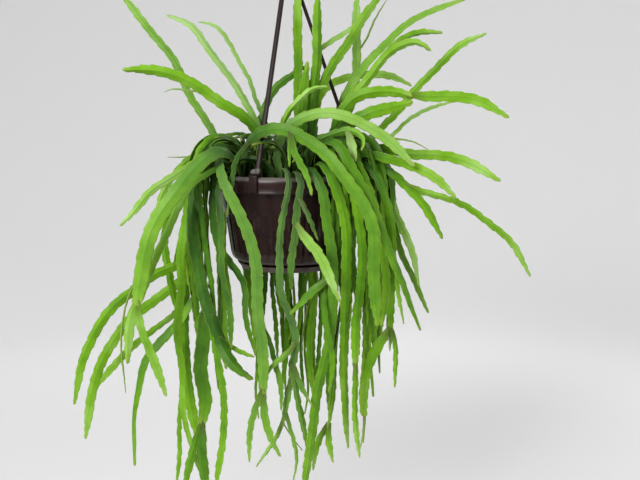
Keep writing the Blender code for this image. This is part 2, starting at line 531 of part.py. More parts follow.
def press_flutes(bm):
    """Pull every second corner of the outer wall in between the two flute heights."""
    for corner in bm.verts:
        radius = corner.co.xy.length
        on_flute = min(abs(corner.co.z - FLUTE_TOP), abs(corner.co.z - FLUTE_BOTTOM)) < 1e-5
        if not on_flute or radius < inner_radius(corner.co.z) + 0.0010:
            continue
        place = round(math.atan2(corner.co.y, corner.co.x) / (2.0 * math.pi) * SIDES)
        if place % 2:
            corner.co.xy *= 1.0 - FLUTE_DEPTH / radius


def make_saucer(parent, look):
    """The clip-on saucer, with three headed pegs that snap through the pot's base."""
    top = POT_FOOT - GAP
    under = top - SAUCER_WALL
    profile = [
        (SAUCER_FOOT_RADIUS - 0.0015, under), (SAUCER_FOOT_RADIUS, under + 0.0008),
        (SAUCER_RADIUS, SAUCER_TOP), (SAUCER_RADIUS - SAUCER_WALL, SAUCER_TOP),
        (SAUCER_FOOT_RADIUS - 0.0012, top),
    ]
    saucer = add_object("saucer", turned(profile, SIDES), parent)
    head = POT_FLOOR + GAP
    rings = [(PEG_RADIUS, top - 0.0005), (PEG_RADIUS, head), (PEG_HEAD_RADIUS, head),
             (PEG_HEAD_RADIUS, head + 0.0010), (PEG_RADIUS - 0.0010, head + 0.0030)]
    for x, y in on_circle(PEG_CIRCLE, PEGS):
        peg = turned(rings, 16)
        bmesh.ops.translate(peg, verts=peg.verts, vec=(x, y, 0.0))
        boolean(saucer, add_object("peg", peg, parent), "UNION")
    finish(saucer, look, 35.0)


def make_soil(parent, look):
    """The block of potting soil, held a hair's breadth off the pot's wall."""
    heights = [SOIL_BOTTOM, -0.0780, -0.0400, -0.0355, -0.0160, SOIL_TOP]
    profile = [(inner_radius(height) - 2.0 * GAP, height) for height in heights]
    finish(add_object("soil", turned(profile, SIDES), parent), look, 35.0)


# ---------------------------------------------------------------- hanger
def make_strand(name, turn, parent, look):
    """One hanger rod, with the clip that hooks over the rim from inside."""
    leg = CLIP_LEG_RADIUS - CLIP_WALL
    face = RIM_RADIUS + GAP
    crown = GAP + CLIP_WALL
    outline = [
        (leg, -CLIP_LEG), (leg, crown - 0.0008), (leg + 0.0010, crown),
        (face + CLIP_WALL - 0.0010, crown), (face + CLIP_WALL, crown - 0.0010),
        (face + CLIP_WALL, -CLIP_DROP), (face, -CLIP_DROP), (face, GAP),
        (CLIP_LEG_RADIUS, GAP), (CLIP_LEG_RADIUS, -CLIP_LEG),
    ]
    bm = bmesh.new()
    corners = [bm.verts.new((reach, -CLIP_WIDTH / 2.0, height)) for reach, height in outline]
    grown = bmesh.ops.extrude_face_region(bm, geom=[bm.faces.new(corners)])["geom"]
    moved = [item for item in grown if isinstance(item, bmesh.types.BMVert)]
    bmesh.ops.translate(bm, verts=moved, vec=(0.0, CLIP_WIDTH, 0.0))
    strand = add_object(name, bm, parent)
    foot = Vector((RIM_RADIUS - 0.0025, 0.0, KNOB_HEIGHT))
    head = Vector((ROD_BALL_CIRCLE, 0.0, HUB_UNDERSIDE - GAP - ROD_BALL_RADIUS))
    rod = tube([foot, foot.lerp(head, 0.5), head], ROD_RADIUS, 10)
    boolean(strand, add_object("rod", rod, parent), "UNION")
    for place, radius in ((foot, KNOB_RADIUS), (head, ROD_BALL_RADIUS)):
        ball = bmesh.new()
        bmesh.ops.create_icosphere(ball, subdivisions=2, radius=radius,
                                   matrix=Matrix.Translation(place))
        boolean(strand, add_object("ball", ball, parent), "UNION")
    strand.data.transform(Matrix.Rotation(math.radians(turn), 4, "Z"))
    finish(strand, look, 40.0)


def make_hook(parent, look):
    """The hub that gathers the three rods, with the open hook above it."""
    profile = [
        (HUB_RADIUS - 0.0012, HUB_UNDERSIDE), (HUB_RADIUS, HUB_UNDERSIDE + 0.0014),
        (HUB_RADIUS, HUB_HEIGHT + 0.0014), (HUB_RADIUS * 0.5, HUB_HEIGHT + 0.0060),
        (HOOK_WIRE + 0.0006, HUB_HEIGHT + 0.0110),
    ]
    hub = add_object("hanger_hook", turned(profile, 24), parent)
    centre = Vector((0.0, 0.0, HUB_HEIGHT + HOOK_RISE))
    path = [Vector((0.0, 0.0, HUB_HEIGHT + 0.0060)), Vector((-0.0003, 0.0, HUB_HEIGHT + 0.0180))]
    for step in range(15):
        angle = math.radians(235.0 - 18.0 * step)
        path.append(centre + HOOK_BEND * Vector((math.cos(angle), 0.0, math.sin(angle))))
    boolean(hub, add_object("hook", tube(path, HOOK_WIRE, 10), parent), "UNION")
    finish(hub, look, 40.0)


# ---------------------------------------------------------------- stems: routes
def through_points(points):
    """Points SAMPLE apart on a smooth curve through a stem's way points."""
    way = np.array(points, dtype=float)
    gaps = np.linalg.norm(np.diff(way, axis=0), axis=1)
    knots = np.concatenate([[0.0], np.cumsum(gaps)])
    runs = np.diff(way, axis=0) / gaps[:, None]
    slopes = np.vstack([runs[:1], runs[-1:]])
    if len(way) > 2:
        before, after = gaps[:-1, None], gaps[1:, None]
        middle = (runs[:-1] * after + runs[1:] * before) / (before + after)
        slopes = np.vstack([runs[:1], middle, runs[-1:]])
    fine = np.linspace(0.0, knots[-1], int(knots[-1] / SAMPLE) * 8 + 8)
    run = np.clip(np.searchsorted(knots, fine, side="right") - 1, 0, len(gaps) - 1)
    width = gaps[run][:, None]
    t = (fine - knots[run])[:, None] / width
    curve = (way[run] * (1 + 2 * t) * (1 - t) ** 2 + slopes[run] * width * t * (1 - t) ** 2
             + way[run + 1] * t ** 2 * (3 - 2 * t) + slopes[run + 1] * width * t ** 2 * (t - 1))
    line = evenly(curve)
    for _ in range(EASING):
        line[2:-1] = (line[1:-2] + 2.0 * line[2:-1] + line[3:]) / 4.0
    return line


def evenly(curve):
    """Points spaced evenly, SAMPLE apart, along a finely drawn curve."""
    steps = np.linalg.norm(np.diff(curve, axis=0), axis=1)
    reach = np.concatenate([[0.0], np.cumsum(steps)])
    count = max(4, round(reach[-1] / SAMPLE))
    places = np.linspace(0.0, reach[-1], count + 1)
    return np.column_stack([np.interp(places, reach, curve[:, axis]) for axis in range(3)])


def half_widths(count, width, shoot, blunt):
    """Half the width of a segment at each of its points: narrow base, full middle, pointed tip."""
    length = (count - 1) * SAMPLE
    place = np.linspace(0.0, length, count)
    base = min(SHOOT_HALF_WIDTH if shoot else ROOT_HALF_WIDTH, width / 2.0)
    tip = min(BLUNT_HALF_WIDTH if blunt else TIP_HALF_WIDTH, width / 2.0)
    grown = np.clip(place / min(SHOOT_WIDENS if shoot else ROOT_WIDENS, length * 0.5), 0.0, 1.0)
    grown = grown * grown * (3.0 - 2.0 * grown)
    left = np.clip((length - place) / min(TIP_LENGTH, length * 0.45), 0.0, 1.0)
    narrowed = 1.0 - (1.0 - left) ** 2
    return np.minimum(base + (width / 2.0 - base) * grown, tip + (width / 2.0 - tip) * narrowed)


def plan_stems():
    """Work out the middle line of every segment of every stem, still unsettled."""
    plan = []
    for name, segments in STEMS.items():
        first = len(plan)
        carries = {parent for _, parent, share, _ in segments if share >= END_SHARE}
        for number, (width, parent, share, way) in enumerate(segments):
            if parent is None:
                start = 0
                x, y, z = way[0]
                way = [way[0], (x, y, z + RISE)] + way[1:]
                parent_index = None
            else:
                parent_index = first + parent
                line = plan[parent_index]["line"]
                last = len(line) - 1 - round(SHOOT_BURIED / SAMPLE)
                start = min(round(share * (len(line) - 1)), last)
                way = [tuple(line[start])] + way
            line = through_points(way)
            half = half_widths(len(line), width, parent is not None, number in carries)
            plan.append({"stem": name, "parent": parent_index, "start": start, "line": line,
                         "half": half})
    return plan


# ---------------------------------------------------------------- stems: settling
def fixed_points():
    """Points along the hanger that the stems keep clear of, with their radii."""
    points, radii = [], []
    for turn in STRAND_TURNS:
        angle = math.radians(turn)
        aim = np.array([math.cos(angle), math.sin(angle), 0.0])
        foot = aim * (RIM_RADIUS - 0.0025) / CM + np.array([0.0, 0.0, KNOB_HEIGHT / CM])
        head = aim * ROD_BALL_CIRCLE / CM + np.array([0.0, 0.0, HUB_UNDERSIDE / CM])
        for share in np.linspace(0.0, 1.0, ROD_POINTS):
            points.append(foot + (head - foot) * share)
            radii.append(ROD_RADIUS / CM)
        for radius, height in CLIP_POINTS:
            points.append(aim * radius + np.array([0.0, 0.0, height]))
            radii.append(CLIP_WIDTH / 2.0 / CM)
    return np.array(points), np.array(radii)


def keep_off_pot(points, half, outside):
    """Move points that are in the pot's wall, or too near it, out of it."""
    radius = np.maximum(np.hypot(points[:, 0], points[:, 1]), 1e-6)
    height = points[:, 2]
    reach = radius.copy()
    rim_radius, rim_height, rim_thick = RIM_ROLL
    away = np.hypot(radius - rim_radius, height - rim_height)
    need = rim_thick + half + AIR
    near = (away < need) & (height > rim_height)
    scale = need[near] / np.maximum(away[near], 1e-6)
    reach[near] = rim_radius + (radius[near] - rim_radius) * scale
    lifted = height.copy()
    lifted[near] = rim_height + (height[near] - rim_height) * scale
    wall = np.interp(height, *np.transpose(WALL))
    low = (height <= rim_height) & outside
    reach[low] = np.maximum(reach[low], wall[low] + (half[low] + AIR) * (wall[low] > 0.0))
    inside = (height <= rim_height) & ~outside
    reach[inside] = np.minimum(reach[inside], MOUTH - half[inside])
    moved = points.copy()
    moved[:, :2] *= (reach / radius)[:, None]
    moved[:, 2] = lifted
    return moved


def settle(plan):
    """Push stems apart until none passes through another, the pot or the hanger.

    Every point gives way a little in each round, mostly to the front or the back, and the moves
    are evened out along each stem so that it stays a smooth curve.
    """
    sizes = [len(segment["line"]) for segment in plan]
    ends = np.cumsum(sizes)
    starts = ends - sizes
    planned = np.vstack([segment["line"] for segment in plan])
    half = np.concatenate([segment["half"] for segment in plan])
    owner = np.concatenate([np.full(size, number) for number, size in enumerate(sizes)])
    stem_names = sorted({segment["stem"] for segment in plan})
    stem = np.array([stem_names.index(segment["stem"]) for segment in plan])[owner]
    along = np.concatenate([np.arange(size) * SAMPLE for size in sizes])
    is_root = np.array([segment["parent"] is None for segment in plan])
    young = (along < YOUNG) & ~is_root[owner]
    outside = np.zeros(len(planned), dtype=bool)
    for number, segment in enumerate(plan):
        part = slice(starts[number], ends[number])
        over = np.hypot(planned[part, 0], planned[part, 1]) > OVER_RIM
        if segment["parent"] is not None:
            over[0] |= outside[starts[segment["parent"]] + segment["start"]]
        outside[part] = np.logical_or.accumulate(over)
    still, still_half = fixed_points()
    moved = np.zeros_like(planned)
    all_half = np.concatenate([half, still_half])
    for turn in range(SETTLE_ROUNDS):
        everything = np.vstack([planned + moved, still])
        if turn % NEIGHBOUR_ROUNDS == 0:
            one, two = neighbours(everything, len(planned), stem, owner, young)
            order = np.where(one < two, 1.0, -1.0) * 0.02
        apart = everything[one] - everything[two]
        distance = np.linalg.norm(apart, axis=1)
        need = np.sqrt((all_half[one] + all_half[two] + AIR) ** 2 + SAMPLE ** 2 / 2.0)
        close = distance < need
        push = apart[close] * YIELD
        push[:, 1] += np.where(np.abs(push[:, 1]) < 0.02, order[close], 0.0)
        push /= np.linalg.norm(push, axis=1)[:, None]
        push *= (0.5 * (need[close] - distance[close]))[:, None]
        total = np.zeros_like(planned)
        count = np.zeros(len(planned))
        np.add.at(total, one[close], push)
        np.add.at(count, one[close], 1.0)
        moved += total / np.maximum(count, 1.0)[:, None]
        moved = even_out(moved, plan, starts, ends)
        placed = keep_off_pot(planned + moved, half, outside)
        moved = placed - planned
        for number, segment in enumerate(plan):
            first = starts[number]
            if segment["parent"] is None:
                moved[first:first + 2, 2] = 0.0
                spot = planned[first, :2] + moved[first, :2]
                away = np.linalg.norm(spot)
                if away > ROOT_LIMIT:
                    moved[first, :2] -= spot * (1.0 - ROOT_LIMIT / away)
                moved[first + 1, :2] = moved[first, :2]
            else:
                moved[first] = moved[starts[segment["parent"]] + segment["start"]]
    for number, segment in enumerate(plan):
        part = slice(starts[number], ends[number])
        segment["line"] = planned[part] + moved[part]


def neighbours(points, movable, stem, owner, young):
    """Pairs of points, the first movable, that are near each other and not on one segment."""
    first, second = [], []
    for start in range(0, movable, 400):
        block = points[start:start + 400][:min(400, movable - start)]
        distance = np.linalg.norm(block[:, None] - points[None], axis=2)
        near_one, near_two = np.nonzero(distance < NEIGHBOUR_REACH)
        first.append(near_one + start)
        second.append(near_two)
    first, second = np.concatenate(first), np.concatenate(second)
    both = second < movable
    partner = np.where(both, second, 0)
    same_stem = both & (stem[first] == stem[partner])
    joined = same_stem & ((owner[first] == owner[partner]) | young[first] | young[partner])
    return first[~joined], second[~joined]


def even_out(moved, plan, starts, ends):
    """Average each point's move with its neighbours' along the stem."""
    calm = moved.copy()
    for first, last in zip(starts, ends):
        part = moved[first:last]
        calm[first + 1:last - 1] = 0.5 * part[1:-1] + 0.25 * (part[:-2] + part[2:])
        calm[last - 1] = 0.5 * (part[-1] + part[-2])
    return calm


# ---------------------------------------------------------------- stems: solids
def facing(line, number):
    """Where a stem's flat side looks: to the front, turned a little with the way the stem leans."""
    middle = line[int(ANCHOR * (len(line) - 1))]
    bearing = math.atan2(middle[0], -middle[1])
    folded = (bearing + math.pi / 2.0) % math.pi - math.pi / 2.0
    look = FOLLOW_LEAN * folded + ROLL * math.sin(ROLL_STEP * number)
    return math.sin(look), -math.cos(look), 0.0


def segment_rings(segment, number):
    """The rings of one segment's solid, in metres."""
    line, half = segment["line"], segment["half"]
    across, through = frames(line, facing(line, number), ANCHOR)
    thick = np.minimum(HALF_THICK, 0.3 * half + 0.09)
    picks = list(range(0, len(line) - 2, STATION)) + [len(line) - 1]
    if segment["parent"] is None:
        across[0], through[0] = flat_frame(across[0])
    return [(line[pick] * CM, across[pick] * half[pick] * CM, through[pick] * thick[pick] * CM)
            for pick in picks]


def flat_frame(across):
    """A level pair of unit vectors, for the end of a stem that stands on the soil."""
    level = np.array([across[0], across[1], 0.0])
    level /= np.linalg.norm(level)
    return level, np.array([level[1], -level[0], 0.0])


def make_stems(parent, look):
    """Every stem as one closed body: its segments are lofted and joined."""
    plan = plan_stems()
    settle(plan)
    stems = {}
    for number, segment in enumerate(plan):
        bm = loft(segment_rings(segment, number), 4)
        bmesh.ops.triangulate(bm, faces=bm.faces)
        piece = add_object(segment["stem"], bm, parent)
        if segment["stem"] in stems:
            boolean(stems[segment["stem"]], piece, "UNION")
        else:
            stems[segment["stem"]] = piece
    for stem in stems.values():
        finish(stem, look, 50.0)


# ---------------------------------------------------------------- the whole part
def main():
    for old in list(bpy.data.objects):
        bpy.data.objects.remove(old)
    rim = bpy.data.objects.new("rim_centre", None)
    bpy.context.scene.collection.objects.link(rim)
    rim.location = (0.0, 0.0, -HOOK_SEAT)
    bpy.context.view_layer.update()
    looks = {name: material(name) for name in COLOURS}
    make_pot(rim, looks["pot_brown"])
    make_saucer(rim, looks["saucer_brown"])
    make_soil(rim, looks["potting_soil"])
    make_hook(rim, looks["hanger_black"])
    for number, turn in enumerate(STRAND_TURNS, start=1):
        make_strand(f"hanger_strand_{number}", turn, rim, looks["hanger_black"])
    make_stems(rim, looks["stem_green"])


main()
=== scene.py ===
# %% [markdown]
# # A mistletoe cactus in a hanging pot
# This notebook dresses a imported model of a hanging plant. The plain solids are already there: a
# pot, a saucer, soil, a hanger of three rods with a hook, and some fifty grown stems. Each one
# gets a finished shape or a finished surface here. We begin with the frame, which holds the
# solids, and note the height of the pot's rim. Nothing that we add may make it bigger.

# %% Load the frame
import json
import math
import random
from collections import defaultdict

import bmesh
import bpy
import numpy as np
from mathutils import Matrix, Vector

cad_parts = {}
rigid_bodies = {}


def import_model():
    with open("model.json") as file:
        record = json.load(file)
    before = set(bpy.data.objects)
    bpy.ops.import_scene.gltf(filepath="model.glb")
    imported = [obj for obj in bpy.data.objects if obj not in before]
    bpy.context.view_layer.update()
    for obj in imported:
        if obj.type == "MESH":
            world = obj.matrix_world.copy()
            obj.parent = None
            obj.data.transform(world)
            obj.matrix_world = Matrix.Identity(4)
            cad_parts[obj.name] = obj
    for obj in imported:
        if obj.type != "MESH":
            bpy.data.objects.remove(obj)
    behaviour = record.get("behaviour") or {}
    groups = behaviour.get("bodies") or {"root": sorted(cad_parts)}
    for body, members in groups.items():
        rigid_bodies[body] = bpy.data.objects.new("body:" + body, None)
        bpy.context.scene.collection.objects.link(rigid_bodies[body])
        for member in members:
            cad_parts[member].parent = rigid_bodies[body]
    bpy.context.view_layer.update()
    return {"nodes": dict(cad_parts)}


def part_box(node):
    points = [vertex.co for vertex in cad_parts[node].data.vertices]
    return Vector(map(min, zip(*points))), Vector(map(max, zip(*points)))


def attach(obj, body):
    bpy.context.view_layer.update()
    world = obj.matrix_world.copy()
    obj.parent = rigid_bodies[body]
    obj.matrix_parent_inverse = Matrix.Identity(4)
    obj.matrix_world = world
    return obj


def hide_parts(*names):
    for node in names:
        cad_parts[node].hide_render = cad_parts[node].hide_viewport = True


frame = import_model()
CM = 0.01
MM = 0.001
RIM = Vector((0.0, 0.0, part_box("pot")[1].z))     # centre of the pot's rim, at its top


def add_object(name, data):
    """Put a mesh, a lamp or a camera in the scene."""
    made = bpy.data.objects.new(name, data)
    bpy.context.scene.collection.objects.link(made)
    return made


print("nodes:", len(frame["nodes"]), "rim height:", round(RIM.z, 4))

# %% [markdown]
# The camera stands a little right of the pot and slightly above its rim, and looks down on it by
# eight degrees. From eighty centimetres away, a 44 mm lens takes in the whole plant with some
# room around it.

# %% Camera
CAMERA_PLACE = (3.2, -80.0, 4.5)
LOOKS_DOWN = 8.1
camera_data = bpy.data.cameras.new("camera")
camera_data.lens = 44.0
camera_data.sensor_width = 36.0
camera = add_object("camera", camera_data)
camera.location = RIM + Vector(CAMERA_PLACE) * CM
camera.rotation_euler = (math.radians(90.0 - LOOKS_DOWN), 0.0, 0.0)
bpy.context.scene.camera = camera
bpy.context.scene.view_settings.view_transform = "Standard"
print("camera at", tuple(round(value, 3) for value in camera.location))

# %% [markdown]
# Node trees are hard to read when every link is a line of its own. A small class wraps a socket,
# so that arithmetic in Python adds Math nodes. Its method `node` adds any other node: the
# settings are given first, then what goes into its sockets.


# %% Wires: shader maths as Python
class Wire:
    """A value, colour or vector in a material's tree of nodes."""

    def __init__(self, tree, socket=None):
        self.tree = tree
        self.socket = socket

    def node(self, kind, settings=None, sockets=None, output=0):
        """Add a node with its settings, then fill its sockets with values or wires."""
        made = self.tree.nodes.new(kind)
        for name, value in (settings or {}).items():
            if name == "stops":
                fill_ramp(made.color_ramp, value)
            else:
                setattr(made, name, value)
        for name, value in (sockets or {}).items():
            if isinstance(value, Wire):
                self.tree.links.new(value.socket, made.inputs[name])
            else:
                made.inputs[name].default_value = value
        return Wire(self.tree, made.outputs[output])

    def maths(self, operation, *values):
        """Add a Math node."""
        return self.node("ShaderNodeMath", {"operation": operation}, dict(enumerate(values)))

    def __add__(self, other):
        return self.maths("ADD", self, other)

    def __sub__(self, other):
        return self.maths("SUBTRACT", self, other)

    def __rsub__(self, other):
        return self.maths("SUBTRACT", other, self)

    def __mul__(self, other):
        return self.maths("MULTIPLY", self, other)

    __radd__ = __add__
    __rmul__ = __mul__

    def __abs__(self):
        return self.maths("ABSOLUTE", self)


print("wires ready")

# %% [markdown]
# A few helpers add the nodes that nearly every material needs. `fill_ramp` sets the colours of a
# ramp, `step` makes a mask with soft edges, `blend` mixes two colours by a mask, `noise` makes
# clouds, and `part_of` takes x, y or z out of a vector.


# %% Ramps, steps, blends and clouds
def fill_ramp(ramp, stops):
    """Set a colour ramp's stops, given as place: colour."""
    places = sorted(stops)
    while len(ramp.elements) < len(places):
        ramp.elements.new(0.5)
    for element, place in zip(ramp.elements, places):
        element.position = place
        element.color = (*stops[place], 1.0)


def step(wire, low, high):
    """A smooth step from 0 below low to 1 above high; the other way round if low is higher."""
    ends = {1: low, 2: high, 3: 0.0, 4: 1.0}
    if low > high:
        ends = {1: high, 2: low, 3: 1.0, 4: 0.0}
    return wire.node("ShaderNodeMapRange", {"interpolation_type": "SMOOTHSTEP"}, {0: wire, **ends})


def blend(mask, colour_a, colour_b):
    """Colour a where the mask is 0, colour b where it is 1."""
    sockets = {0: mask, 6: rgba(colour_a), 7: rgba(colour_b)}
    return mask.node("ShaderNodeMix", {"data_type": "RGBA"}, sockets, 2)


def rgba(colour):
    """A colour as its socket wants it; a wire stays a wire."""
    return colour if isinstance(colour, Wire) else (*colour, 1.0)


def noise(wire, place, scale, detail=3.0, roughness=0.55):
    """A cloud pattern between 0 and 1; scale counts its patches per metre."""
    sockets = {"Vector": place, "Scale": scale, "Detail": detail, "Roughness": roughness}
    return wire.node("ShaderNodeTexNoise", {}, sockets, 0)


def part_of(vector, axis):
    """One part of a vector: 0 for x, 1 for y, 2 for z."""
    return vector.node("ShaderNodeSeparateXYZ", {}, {"Vector": vector}, axis)


print("node helpers ready")

# %% [markdown]
# Every material starts from the same skeleton: a Principled shader and the object's own
# coordinates, so that a pattern stays on its piece. What is the same all over goes straight onto
# the shader's sockets. What changes over the surface is wired into colour, roughness and bump.


# %% A material's skeleton
def new_look(name, **constants):
    """A Principled material: its first wire, its place wire and a function that connects it."""
    made = bpy.data.materials.new(name)
    made.use_nodes = True
    shader = made.node_tree.nodes["Principled BSDF"]
    for socket, value in constants.items():
        shader.inputs[socket.replace("_", " ")].default_value = value
    wire = Wire(made.node_tree)
    place = wire.node("ShaderNodeTexCoord", {}, {}, 3)

    def connect(colour, roughness=None, height=None, distance=0.0, strength=1.0):
        links = made.node_tree.links
        links.new(colour.socket, shader.inputs["Base Color"])
        if roughness is not None:
            links.new(roughness.socket, shader.inputs["Roughness"])
        if height is not None:
            sockets = {"Strength": strength, "Distance": distance, "Height": height}
            bump = wire.node("ShaderNodeBump", {}, sockets)
            links.new(bump.socket, shader.inputs["Normal"])

    return made, wire, place, connect


print("skeleton ready")

# %% [markdown]
# The pot is injection-moulded plastic, a brown so dark that it looks black away from the light.
# Such plastic is never even: the surface has a fine orange-peel grain, and handling, dust and
# dried water leave a dull grey film that is strongest low down. A paler band on the rim's rounded
# top edge and on the hanger's knobs is a painted highlight with a little wear in it, and the band
# under the collar is kept dark as painted shade. The saucer is the same material with more of
# that film.


# %% Moulded plastic
GRIMY_HEIGHT, GRIMY_REACH = -81.0, 9.0
# heights of the band under the collar, where shade is painted
BAND_BOTTOM, BAND_TOP = -39.0, -14.0
# colour of the paler band: a painted highlight on rounded edges, with a little wear
HIGHLIGHT_AND_WEAR_COLOUR = (0.190, 0.172, 0.160)


def above_rim(height):
    """The height on the z axis of a place given in millimetres from the rim."""
    return RIM.z + height * MM


def plastic(name, dark, dusty, film, gloss, pale):
    """Brown moulded plastic under a film of dust; film is how much of it there is.

    The last argument gives the lowest and highest height of a paler band, and how pale it is;
    that band is a painted highlight on a rounded edge, with a little wear in it.
    """
    made, wire, place, connect = new_look(name, Specular_IOR_Level=0.17, IOR=1.5)
    clouds = noise(wire, place, 28.0, 4.0, 0.6)
    drawn_out = place.node("ShaderNodeMapping", {}, {"Vector": place, "Scale": (1.0, 1.0, 0.12)})
    streaks = noise(wire, drawn_out, 120.0)
    specks = noise(wire, place, 900.0, 2.0, 0.7)
    height = part_of(place, 2)
    low = step(abs(height - above_rim(GRIMY_HEIGHT)), GRIMY_REACH * MM, 2.0 * MM) * 0.16
    # painted shade: the band under the collar's overhang keeps little of the pale film, so it stays
    # dark
    shade_under_collar = (step(height, above_rim(BAND_BOTTOM), above_rim(BAND_BOTTOM + 3.0))
                 * step(height, above_rim(BAND_TOP), above_rim(BAND_TOP - 2.0)))
    dust = step(clouds * 0.6 + streaks * 0.4 + low, 0.72 - film, 1.02 - film)
    dust = dust * (1.0 - shade_under_collar * 0.9)
    # painted highlight: a paler band along the rim's rounded top edge and round the hanger's knobs,
    # with a little wear
    lowest, highest, amount = pale
    edge_highlight_and_wear = (step(height, above_rim(lowest), above_rim(lowest + 2.6))
            * step(height, above_rim(highest + 1.0), above_rim(highest)))
    scuffs = step(specks, 0.66, 0.78) * 0.35
    colour = blend(dust * 0.8 + scuffs * 0.4, dark, dusty)
    colour = blend(edge_highlight_and_wear * (clouds * 0.5 + 0.75) * amount, colour, HIGHLIGHT_AND_WEAR_COLOUR)
    roughness = dust * 0.22 + scuffs * 0.1 + gloss
    connect(colour, roughness, specks * 0.6 + streaks * 0.4, 0.12 * MM, 0.35)
    return made


# the last triple of each is the band of painted highlight: the rim's top edge, and the knobs above
# the clips
pot_plastic = plastic("pot_plastic", (0.017, 0.007, 0.006), (0.078, 0.063, 0.054), 0.20, 0.27,
                      (-4.8, 3.0, 0.52))
saucer_plastic = plastic("saucer_plastic", (0.042, 0.024, 0.019), (0.130, 0.105, 0.090), 0.34, 0.40,
                         (-4.8, 3.0, 0.0))
hanger_plastic = plastic("hanger_plastic", (0.014, 0.007, 0.006), (0.048, 0.034, 0.030), 0.10, 0.40,
                         (2.4, 7.6, 0.42))
print("plastics:", pot_plastic.name, saucer_plastic.name, hanger_plastic.name)

# %% [markdown]
# A few helpers serve every piece. `mesh_of` and `take_in` carry shapes from a bmesh to a mesh and
# back. `finish_piece` makes an object that rides on the frame and hides the solids it stands for.


# %% Helpers for every piece
def mesh_of(name, bm):
    """Make the bmesh a mesh, and free it."""
    mesh = bpy.data.meshes.new(name)
    bm.to_mesh(mesh)
    bm.free()
    return mesh


def take_in(bm, mesh):
    """Add a mesh to the bmesh, and remove it."""
    bm.from_mesh(mesh)
    bpy.data.meshes.remove(mesh)


def finish_piece(name, bm, look, nodes, sharp=None):
    """Make the bmesh a finished piece that replaces the named solids."""
    mesh = mesh_of(name, bm)
    mesh.shade_smooth()
    if sharp:
        mesh.set_sharp_from_angle(angle=math.radians(sharp))
    mesh.materials.append(look)
    piece = add_object(name, mesh)
    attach(piece, "root")
    if nodes:
        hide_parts(*nodes)
    print(f"{name}: {len(mesh.polygons)} faces")


print("piece helpers ready")

# %% [markdown]
# Round pieces are made the way a lathe or a round mould makes them: `turned` spins a half profile
# round the pot's axis. `at_turn` finds a place beside that axis, for what is set in a circle.
# `round_edges` breaks the sharp edges with a small bevel, because moulded plastic has no razor
# edges, and the little highlights on them make it read as real.


# %% Helpers for moulded pieces
def at_turn(turn, radius, height):
    """A point at a turn in degrees round the pot, a radius and a height."""
    angle = math.radians(turn)
    return radius * math.cos(angle), radius * math.sin(angle), height


def turned(profile, steps, centre=RIM, unit=MM):
    """Spin a half profile, given as radius and height, once round an upright axis."""
    bm = bmesh.new()
    corners = [bm.verts.new(centre + Vector((radius * unit, 0.0, height * unit)))
               for radius, height in profile]
    for one, two in zip(corners, corners[1:]):
        bm.edges.new((one, two))
    bmesh.ops.spin(bm, geom=bm.verts[:] + bm.edges[:], cent=centre, axis=(0.0, 0.0, 1.0),
                   angle=math.tau, steps=steps, use_merge=True)
    bmesh.ops.remove_doubles(bm, verts=bm.verts, dist=0.005 * MM)
    bmesh.ops.recalc_face_normals(bm, faces=bm.faces)
    return bm


def round_edges(bm, radius, angle=28.0, segments=3):
    """Bevel every edge that is sharper than the angle."""
    sharp = [edge for edge in bm.edges
             if len(edge.link_faces) == 2 and edge.calc_face_angle() > math.radians(angle)]
    bmesh.ops.bevel(bm, geom=sharp, offset=radius, offset_type="OFFSET", affect="EDGES",
                    segments=segments, profile=0.5, material=-1, clamp_overlap=True)


print("moulding helpers ready")

# %% [markdown]
# The pot is turned from one profile: up the outside from the foot, over the collar that hangs
# down round the rim, and down the inside. Thirty-two flutes are pressed into the lower wall. A
# flute is a narrow groove between broad panels, so the wall is pulled in by a narrow bell curve
# at each one, fading out at the plain band above and at the corner below.

# %% Pot
FLUTES = 32
FLUTE_TOP, FLUTE_BOTTOM, FLUTE_FADE = -39.0 * MM, -75.0 * MM, 3.5 * MM
WALL_BOTTOM, WALL_TOP = 60.2 * MM, 65.0 * MM
GROOVE, GROOVE_SHARE, PANEL_SAG = 1.3, 0.13, 0.9
POT_STEPS = 384
POT_PROFILE = [
    (0.0, -87.5), (40.4, -87.5), (41.0, -93.0), (46.0, -93.0), (46.6, -87.4), (52.0, -87.2),
    (55.4, -85.7), (57.5, -83.8), (58.9, -81.2), (59.7, -78.0), (60.0, -76.6), (60.2, -75.0),
    (60.4, -73.2), (61.5, -65.5), (62.6, -57.0), (63.8, -48.0), (64.7, -41.4), (65.0, -39.0),
    (65.9, -37.6), (66.2, -36.4), (67.9, -26.0), (69.5, -15.5), (73.4, -2.6), (75.4, -2.6),
    (75.2, -15.5), (77.5, -15.6), (77.8, -15.3), (77.8, -14.8), (77.4, -14.4), (77.2, -13.9),
    (77.3, -9.0), (77.3, -5.4), (77.0, -3.5), (76.3, -1.9), (75.3, -0.8), (74.1, -0.2),
    (72.8, 0.0), (71.9, -0.8), (67.6, -16.0), (64.0, -35.5), (62.4, -40.0), (57.2, -78.0),
    (53.5, -84.5), (49.0, -85.5), (0.0, -85.5),
]


def flute_depth(corner):
    """How far a point of the outer wall is pulled in by the nearest flute."""
    height = corner.co.z - RIM.z
    radius = corner.co.xy.length
    wall = np.interp(height, [FLUTE_BOTTOM, FLUTE_TOP], [WALL_BOTTOM, WALL_TOP])
    if not FLUTE_BOTTOM - FLUTE_FADE < height < FLUTE_TOP + 0.5 * MM or radius < wall - 1.5 * MM:
        return 0.0
    turn = math.atan2(corner.co.y, corner.co.x) / math.tau * FLUTES - 0.5
    off = turn - round(turn)
    fade = min(1.0, (height - FLUTE_BOTTOM + FLUTE_FADE) / (4.0 * MM))
    groove = GROOVE * math.exp(-(off / GROOVE_SHARE) ** 2)
    return (groove + PANEL_SAG * off ** 2) * MM * fade


